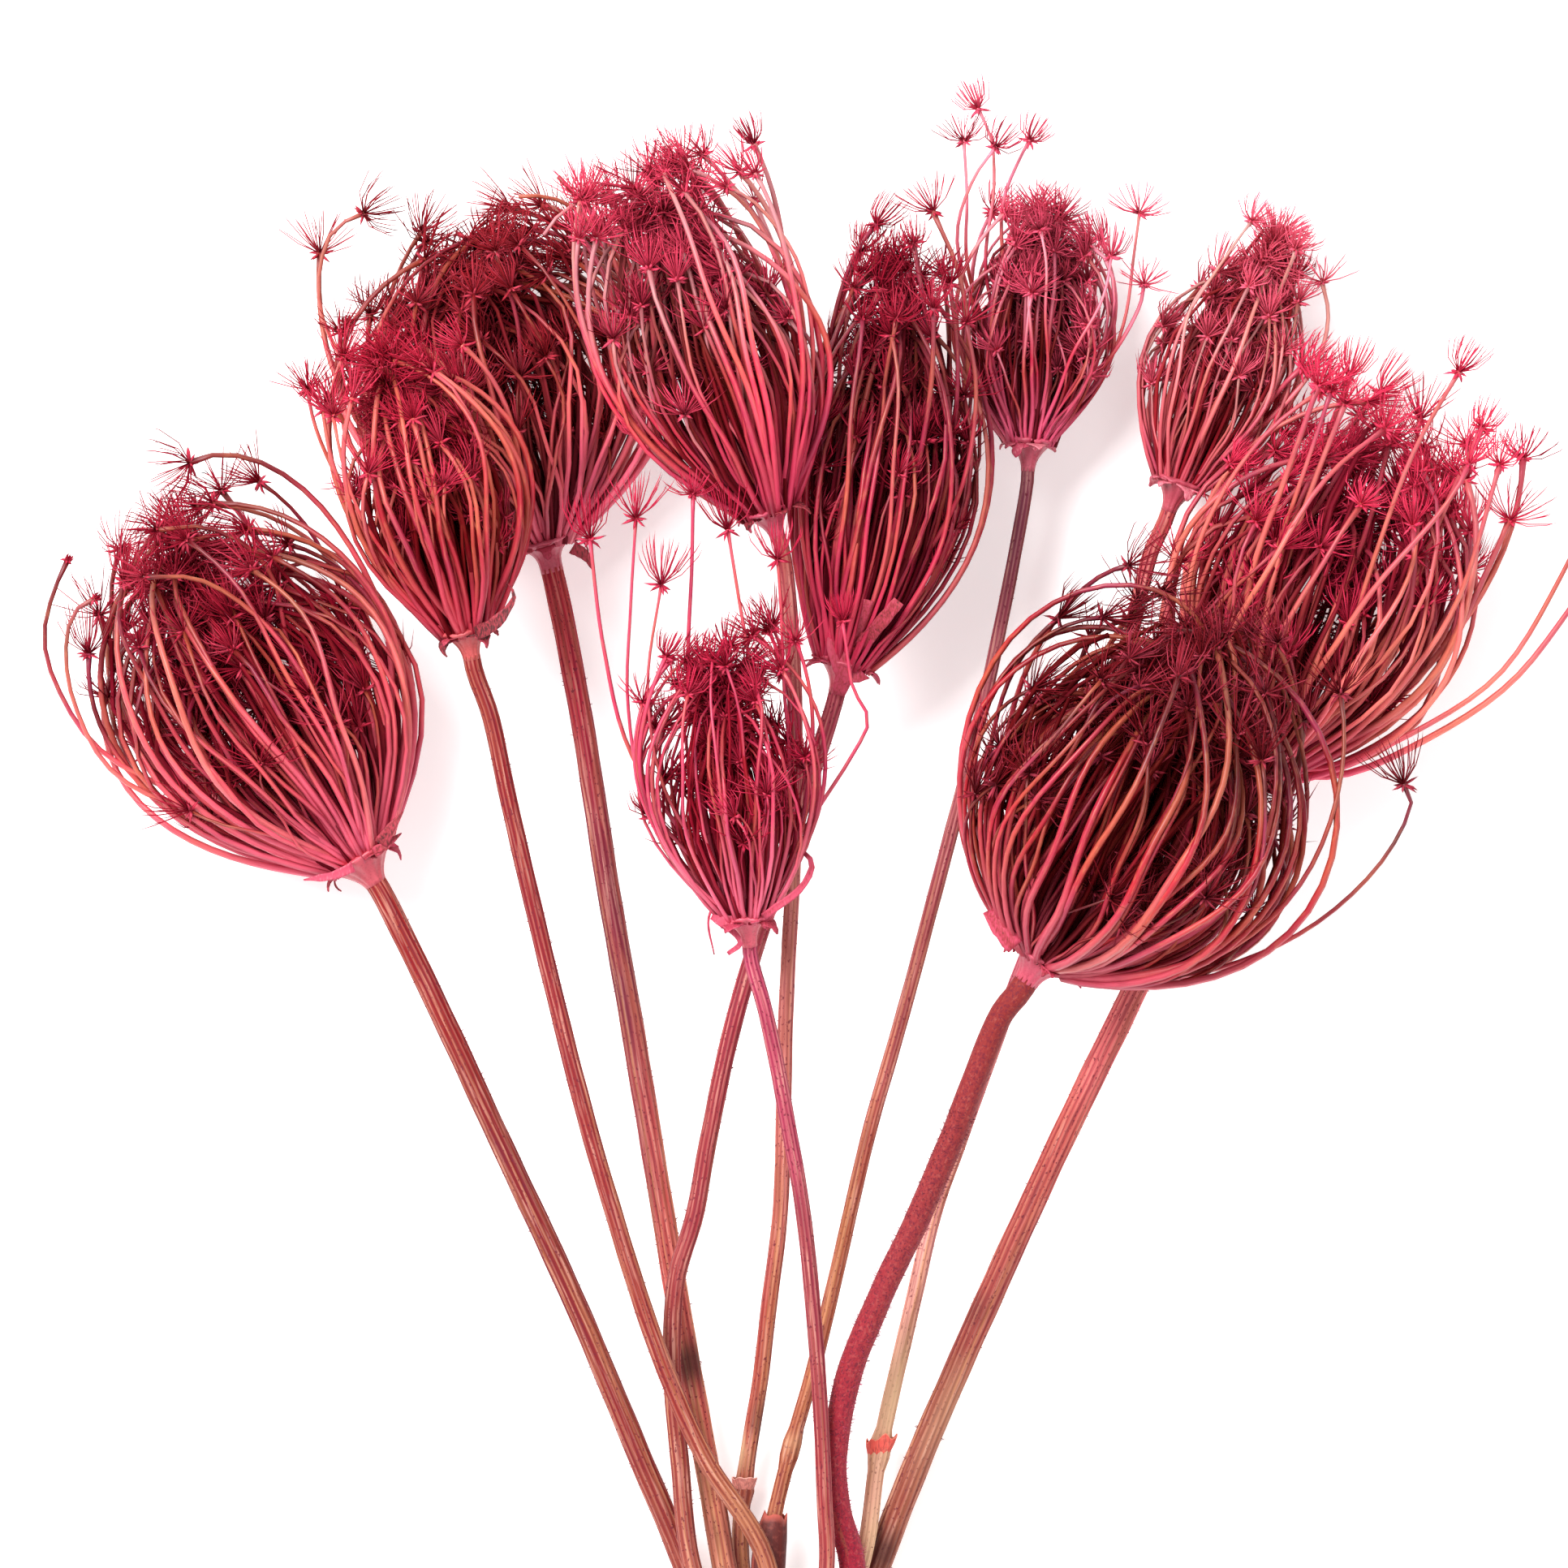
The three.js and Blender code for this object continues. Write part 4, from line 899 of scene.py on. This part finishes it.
def bract_parts(umbel, draw):
    """Torn bracts: thin flaps that stand on the rim, and curl down or up on their way out.

    A flap at share s along it and t across it is at the azimuth middle + t wide (1 - 0.9 s^1.3) ragged /
    cup. Its slope turns evenly from first to first - turn, so it goes out by
    size (sin first - sin(first - turn s)) / turn, and up by the like with cosines.
    """
    s = np.linspace(0, 1, 7)[:, None]
    t = np.linspace(-1, 1, 5)[None]
    flaps = []
    for middle in np.sort(draw.uniform(0, 2 * np.pi, draw.integers(7, 10))):
        size, wide = draw.uniform(2.0, 5.4), draw.uniform(1.1, 2.7)
        first, turn = draw.uniform(-0.4, 0.5), draw.uniform(0.3, 2.2)
        ragged = 1 + 0.3 * np.sin(9 * s + draw.uniform(0, 6)) + 0.15 * draw.uniform(-1, 1, (7, 1))
        azimuth = middle + t * wide * (1 - 0.9 * s**1.3) * ragged / umbel["cup"]
        out = 0.84 * umbel["cup"] + size * (np.sin(first) - np.sin(first - turn * s)) / turn + 0 * t
        up = -0.9 + size * (np.cos(first - turn * s) - np.cos(first)) / turn + 0.3 * t**2 * s
        flap = slab(np.stack([out * np.sin(azimuth), up, out * np.cos(azimuth)], axis=-1), 0.3)
        flap["marks"] = dict(tint=umbel["bract"] + draw.uniform(-0.2, 0.2), grain=flap["corners"])
        flap["finish"] = 2
        flaps.append(flap)
    return flaps


def ray_part(lines, radius, sides, fresh, umbel, local, depth, turn, draw):
    """Rays as bars. Their shade mark is painted shade: it grows the deeper they are in the nest and the
    further a corner faces inwards. Their tint, drawn between the two ends of fresh, says how lively their
    dye is."""
    rays = bars(lines, radius, sides)
    outward = unit(local - (0, 0.4 * umbel["height"], 0)) @ turn.T
    facing = np.einsum("rsk,rsck->rsc", outward, unit(rays["corners"] - lines[:, :, None]))
    gone = np.cumsum(np.linalg.norm(np.diff(lines, axis=1, prepend=lines[:, :1]), axis=2), axis=1)
    gone = gone[..., None] + 97.0 * draw.uniform(0, 50, (len(lines), 1, 1))
    angle = 2 * np.pi * np.arange(sides) / sides
    # Painted shade: the shade mark darkens rays the deeper they lie in the nest, and their sides that face
    # inwards.
    rays["marks"] = dict(
        along=np.linspace(0, 1, lines.shape[1])[None, :, None],
        tint=draw.uniform(*fresh, (len(lines), 1, 1)),
        shade=np.clip((0.98 - depth) / 0.7, 0, 1)[..., None] + 0.15 * (1 - facing),
        grain=np.stack(np.broadcast_arrays(0.6 * np.cos(angle), 0.6 * np.sin(angle), gone), axis=-1),
    )
    return rays


def umbel_parts(number, row, umbel, draw):
    """An umbel's cup, bracts, rays and brooms in the bunch's frame, with nothing under the floor.

    A ray's depth is its distance from the nest's middle as a share of the nest's size: 1 at its skin.
    """
    turn = head_turn(row)
    place = np.array([*row["route"][0], row["neck"]], float)
    nest, long, inner = nest_lines(umbel, draw)
    lines = np.concatenate([place + nest @ turn.T, stray_lines(row, umbel, place)])
    strays = [stray[0] for stray in umbel["strays"]]
    long = np.concatenate([long, np.ones(len(strays))])
    inner = np.concatenate([inner, np.zeros(len(strays), bool)])
    count = len(lines)
    short = long < 1
    sizes = np.where(draw.uniform(0, 1, count) < BARE_SHARE, 0.2, 1.0)
    sizes[short] = 1.0
    sizes[inner] = 0.0
    sizes[count - len(strays):] = strays
    t = np.linspace(0, 1, RAY_POINTS)
    hub = np.where(t > 0.97, 0.3, 0.0) * (sizes > 0)[:, None]
    taper = 1 - 0.34 * t + 0.06 * np.exp(-t / 0.05) + hub
    radius = umbel["ray"] * (0.4 + 0.6 * long * draw.uniform(0.65, 1.3, count))[:, None] * taper
    lines[..., 2] = np.maximum(lines[..., 2], -ORIGIN[2] + radius)
    local = (lines - place) @ turn
    away = np.hypot(local[..., 0], local[..., 2] / umbel["flat"]) / umbel["width"]
    depth = np.hypot(away, (local[..., 1] / umbel["height"] - 0.5) / 0.6)
    # Inner rays count as the nest's middle, so their finish paints them all in the dark red of painted
    # shade.
    depth[inner] = 0.0
    deep = np.clip((0.9 - depth[:, -1]) / 0.75, 0, 1)
    ways = unit(lines[:, -1] - lines[:, -2])
    tips = lines[:, -1] - 0.3 * ways

    parts = [cup_part(row, umbel, draw), *bract_parts(umbel, draw)]
    for part in parts:
        part["corners"] = place + part["corners"] @ turn.T
    under = local[:, -1, 2] < -0.3 * umbel["flat"] * umbel["width"]
    for kind, pick in (
        ("whole", ~short),
        ("short", short & ~inner & ~under),
        ("under", short & ~inner & under),
        ("inner", inner),
    ):
        skip = RAY_SKIP[kind] if umbel["width"] < WIDE_NEST else (RAY_SKIP[kind] + 1) // 2
        sides, fresh = (RAY_SIDES, (0.4, 1.0)) if kind == "whole" else (RAY_SIDES - 1, (0.0, 0.75))
        thin, fat, near, far = (array[pick, ::skip] for array in (lines, radius, local, depth))
        parts.append(ray_part(thin, fat, sides, fresh, umbel, near, far, turn, draw))
        if kind in STALKS:
            pick = pick & (sizes > 0)
            ends = (array[pick] for array in (tips, ways, sizes))
            parts += umbellets(*ends, umbel["reach"], deep[pick], kind, draw)
    parts += [flap_part(flap, draw) for flap in FLAPS if flap["umbel"] == number]
    for part in parts:
        part["corners"][..., 2] = np.maximum(part["corners"][..., 2], -ORIGIN[2] + 0.05)
    return parts


def ray_finish(name, umbel):
    """Dyed rays: their own colours from the cup to the tip, warmer and cooler stretches, ochre specks
    halfway, dull streaks, and painted shade in a dark red, the deeper they are in the nest."""
    material, tree, skin = new_finish(name, 0.42)
    grain, along, tint, shade = (marked(tree, mark) for mark in ("grain", "along", "tint", "shade"))
    cup, root, middle, tip, _, dark_red_and_shade = umbel["hue"]
    blotch = noise(tree, grain, (0.3, 0.3, 0.05), 2.0)
    place = product(tree, blotch, 0.3, along)
    colour = ramp(tree, place, [(0.0, cup), (0.2, root), (0.35, root), (0.65, middle), (1.0, tip)])
    lively = mixed(tree, 0.5, colour, dye("dc8c70"))
    colour = mixed(tree, ranged(tree, tint, 0.8, 1.0, 0.0, 0.6), colour, lively)

    stretch = noise(tree, grain, (0.0, 0.0, 0.03), 1.0)
    warm = product(tree, ranged(tree, stretch, 0.5, 0.62, 0.0, 0.6), ranged(tree, along, 0.1, 0.4))
    colour = mixed(tree, warm, colour, dye("b8583c"))
    colour = mixed(tree, ranged(tree, stretch, 0.48, 0.36, 0.0, 0.5), colour, dye("a83258"))
    dull = mixed(tree, 0.6, colour, dye("7a1a28"))
    colour = mixed(tree, ranged(tree, tint, 0.45, 0.0, 0.0, 0.6), colour, dull)
    streak = noise(tree, grain, (2.2, 2.2, 0.2), 3.0)
    colour = mixed(tree, ranged(tree, streak, 0.5, 0.3, 0.0, 0.5), colour, dull)

    specks = noise(tree, grain, (2.4, 2.4, 0.35), 3.0)
    midway = ramp(tree, along, [(0.15, "000000"), (0.45, "ffffff"), (0.85, "ffffff"), (1.0, "606060")])
    ochre = product(tree, ranged(tree, specks, 0.52, 0.7, 0.0, 0.3), midway)
    colour = mixed(tree, ochre, colour, dye("cf8a5c"))
    # Painted shade: the shade mark turns the rays to the dark red deep in the nest.
    colour = mixed(tree, ranged(tree, shade, 0.1, 1.1, 0.0, 0.92), colour, dye(dark_red_and_shade))
    tree.links.new(ranged(tree, shade, 0.1, 0.7, 0.45, 0.02), skin.inputs["Specular IOR Level"])
    lay_on(tree, skin, colour, specks, 0.3, 0.0001)
    return material


def stalk_finish(name, umbel):
    """Dyed stalks: each between the outside's lighter red and a dark red at random, mottled, and with
    painted shade in the dark red the deeper it is in the nest."""
    material, tree, skin = new_finish(name, 0.7, 0.08)
    outside, dark_red_and_shade = (dye(code) for code in umbel["hue"][4:])
    tint, shade = (marked(tree, mark) for mark in ("tint", "shade"))
    light = mixed(tree, 0.4, outside, dye("e8607a"))
    colour = mixed(tree, ranged(tree, tint, 0.45, 1.0), outside, light)
    colour = mixed(tree, ranged(tree, tint, 0.55, 0.1, 0.0, 0.8), colour, dark_red_and_shade)
    # Painted shade: stalks and bracteoles deep in the nest turn to the dark red.
    colour = mixed(tree, ranged(tree, shade, 0.0, 1.0, 0.0, 0.88), colour, dark_red_and_shade)
    mottle = noise(tree, add_node(tree, "TexCoord", {}).outputs["Object"], (420.0, 420.0, 420.0), 2.0)
    lay_on(tree, skin, mixed(tree, ranged(tree, mottle, 0.5, 0.3, 0.0, 0.5), colour, dark_red_and_shade))
    return material


def bract_finish(name):
    """Dry bracts: from nearly black to pale pink by their tint, with veins along them."""
    material, tree, leaf = new_finish(name, 0.7)
    veins = noise(tree, marked(tree, "grain"), (2.6, 0.8, 2.6), 3.0)
    place = product(tree, veins, 1.1, marked(tree, "tint"))
    colour = ramp(tree, place, [(0.5, "4a1218"), (0.75, "9c2c38"), (1.0, "b83a56")])
    colour = mixed(tree, ranged(tree, place, 1.15, 1.5, 0.0, 0.8), colour, dye("e08a94"))
    lay_on(tree, leaf, colour, veins, 0.4, 0.0002)
    return material


for number, (row, umbel) in enumerate(zip(STEMS, UMBELS), 1):
    parts = umbel_parts(number, row, umbel, np.random.default_rng(100 + number))
    finishes = [
        ray_finish(f"dyed rays {number}", umbel),
        stalk_finish(f"dyed stalks {number}", umbel),
        bract_finish(f"dry bracts {number}"),
    ]
    build_piece(f"dyed_umbel_{number}", parts, finishes, f"umbel_{number}")

# The tie. Three turns of two-ply jute twine are drawn tight round the stems and knotted on top, with
# short ends.
TWINE_RADIUS = 0.9
TWINE_SIDES = 14
TWINE_LAY = 5.0
TWINE_TURNS = 3
TWINE_PITCH = 2.0
WINDING_RADIUS = 11.45
KNOT_SIZE = 0.9375
KNOT_LIFT = 1.6


def twine(points, count):
    """Two-ply twine along the points: its radius is TWINE_RADIUS (1 + 0.14 cos(2 a - lay)), where the
    lay goes once round in TWINE_LAY millimetres."""
    line = smooth_line(points, count)
    gone = length_along(line)[:, None]
    angle = 2 * np.pi * np.arange(TWINE_SIDES) / TWINE_SIDES
    lay = 2 * np.pi * gone / TWINE_LAY
    ply = np.cos(2 * angle - lay)
    cord = bars(line[None], TWINE_RADIUS * (1 + 0.14 * ply)[None], TWINE_SIDES, (0.03, 1, 0.02))
    grain = np.stack(np.broadcast_arrays(angle - lay / 2, gone, 0 * lay), axis=-1)
    cord["marks"] = dict(shade=ply[None], grain=grain[None])
    return cord


def tie_parts():
    """The winding, a helix of TWINE_TURNS turns with its ends led off from the knot, and the knot, a
    trefoil: (sin t + 2 sin 2t, cos t - 2 cos 2t, -sin 3t)."""
    turns = np.linspace(0, 2 * np.pi * TWINE_TURNS, 40 * TWINE_TURNS)
    helix = TIE_PLACE + np.stack([
        WINDING_RADIUS * np.sin(turns + 0.1),
        TWINE_PITCH * (turns / (2 * np.pi) - TWINE_TURNS / 2),
        WINDING_RADIUS * np.cos(turns + 0.1),
    ], axis=1)
    top = TIE_PLACE + (0.6, 0, WINDING_RADIUS + KNOT_LIFT)
    first = [top + (9, -7, -2.4), top + (5.5, -4.5, -0.6), top + (2, -3.0, 0.2)]
    last = [top + (-2.4, 2.6, 0.2), top + (-6, 5, -0.8), top + (-9.5, 8, -2.8)]
    t = np.linspace(0, 2 * np.pi, 40)[:-2]
    knot = top + np.stack([
        KNOT_SIZE * (np.sin(t) + 2 * np.sin(2 * t)),
        KNOT_SIZE * (np.cos(t) - 2 * np.cos(2 * t)),
        0.3 - 0.9 * np.sin(3 * t),
    ], axis=1)
    return [twine([*first, *helix, *last], 420), twine(knot, 120)]


def twine_finish():
    """Jute: straw brown, with painted shade between the plies, and fine fibres along the lay."""
    material, tree, jute = new_finish("jute twine", 0.9)
    fibres = noise(tree, marked(tree, "grain"), (6.0, 0.8, 1.0), 3.0)
    colour = ramp(tree, fibres, [(0.3, "7d6240"), (0.55, "a98a5e"), (0.75, "c8ad80")])
    # Painted shade in the crevices between the two plies.
    colour = mixed(tree, ranged(tree, marked(tree, "shade"), 0.0, -1.0, 0.0, 0.7), colour, dye("5a4228"))
    lay_on(tree, jute, colour, fibres, 0.6, 0.0002)
    return material


build_piece("twine_tie", tie_parts(), [twine_finish()], "tie")

# The floor: a plain pale sweep that the bunch lies on. It glows a little, as a lit table does, so that
# the shadows stay faint.
bpy.ops.mesh.primitive_plane_add(size=8.0, location=(0, 0, -0.0003))
floor = bpy.context.object
floor.name = "floor"
material, _, paper = new_finish("pale paper", 0.9)
paper.inputs["Base Color"].default_value = (0.93, 0.93, 0.93, 1)
paper.inputs["Emission Color"].default_value = (1, 1, 1, 1)
paper.inputs["Emission Strength"].default_value = 0.42
floor.data.materials.append(material)

# The light: a bright even room, one broad lamp from the upper left, and a weak one opposite.
world = bpy.data.worlds.new("studio")
bpy.context.scene.world = world
world.use_nodes = True
world.node_tree.nodes["Background"].inputs["Color"].default_value = (1, 1, 1, 1)
world.node_tree.nodes["Background"].inputs["Strength"].default_value = 0.72
bpy.context.scene.view_settings.view_transform = "Standard"
for name, place, size, power in (
    ("key lamp", (-1.0, 1.0, 2.0), 1.2, 90.0),
    ("fill lamp", (1.2, -0.8, 1.8), 2.0, 12.0),
):
    lamp = bpy.data.lights.new(name, "AREA")
    lamp.size = size
    lamp.energy = power
    holder = bpy.data.objects.new(name, lamp)
    holder.location = place
    holder.rotation_euler = (-holder.location).to_track_quat("-Z", "Y").to_euler()
    bpy.context.scene.collection.objects.link(holder)

# The camera: straight above, far off, with a square view VIEW_SIZE wide at the umbels' height. Its
# lower edge is the line y = 0 of the bunch's own frame.
PHOTO_PIXELS = 1932
PIXEL = 0.18
VIEW_SIZE = PHOTO_PIXELS * PIXEL
VIEW_HEIGHT = 35.0
CAMERA_HEIGHT = 5000.0
camera = bpy.data.cameras.new("camera")
camera.sensor_width = 36.0
camera.lens = camera.sensor_width * (CAMERA_HEIGHT - VIEW_HEIGHT) / VIEW_SIZE
camera.clip_end = 20.0
viewer = bpy.data.objects.new("camera", camera)
viewer.location = (ORIGIN + (0, VIEW_SIZE / 2, CAMERA_HEIGHT)) * MM
bpy.context.scene.collection.objects.link(viewer)
bpy.context.scene.camera = viewer
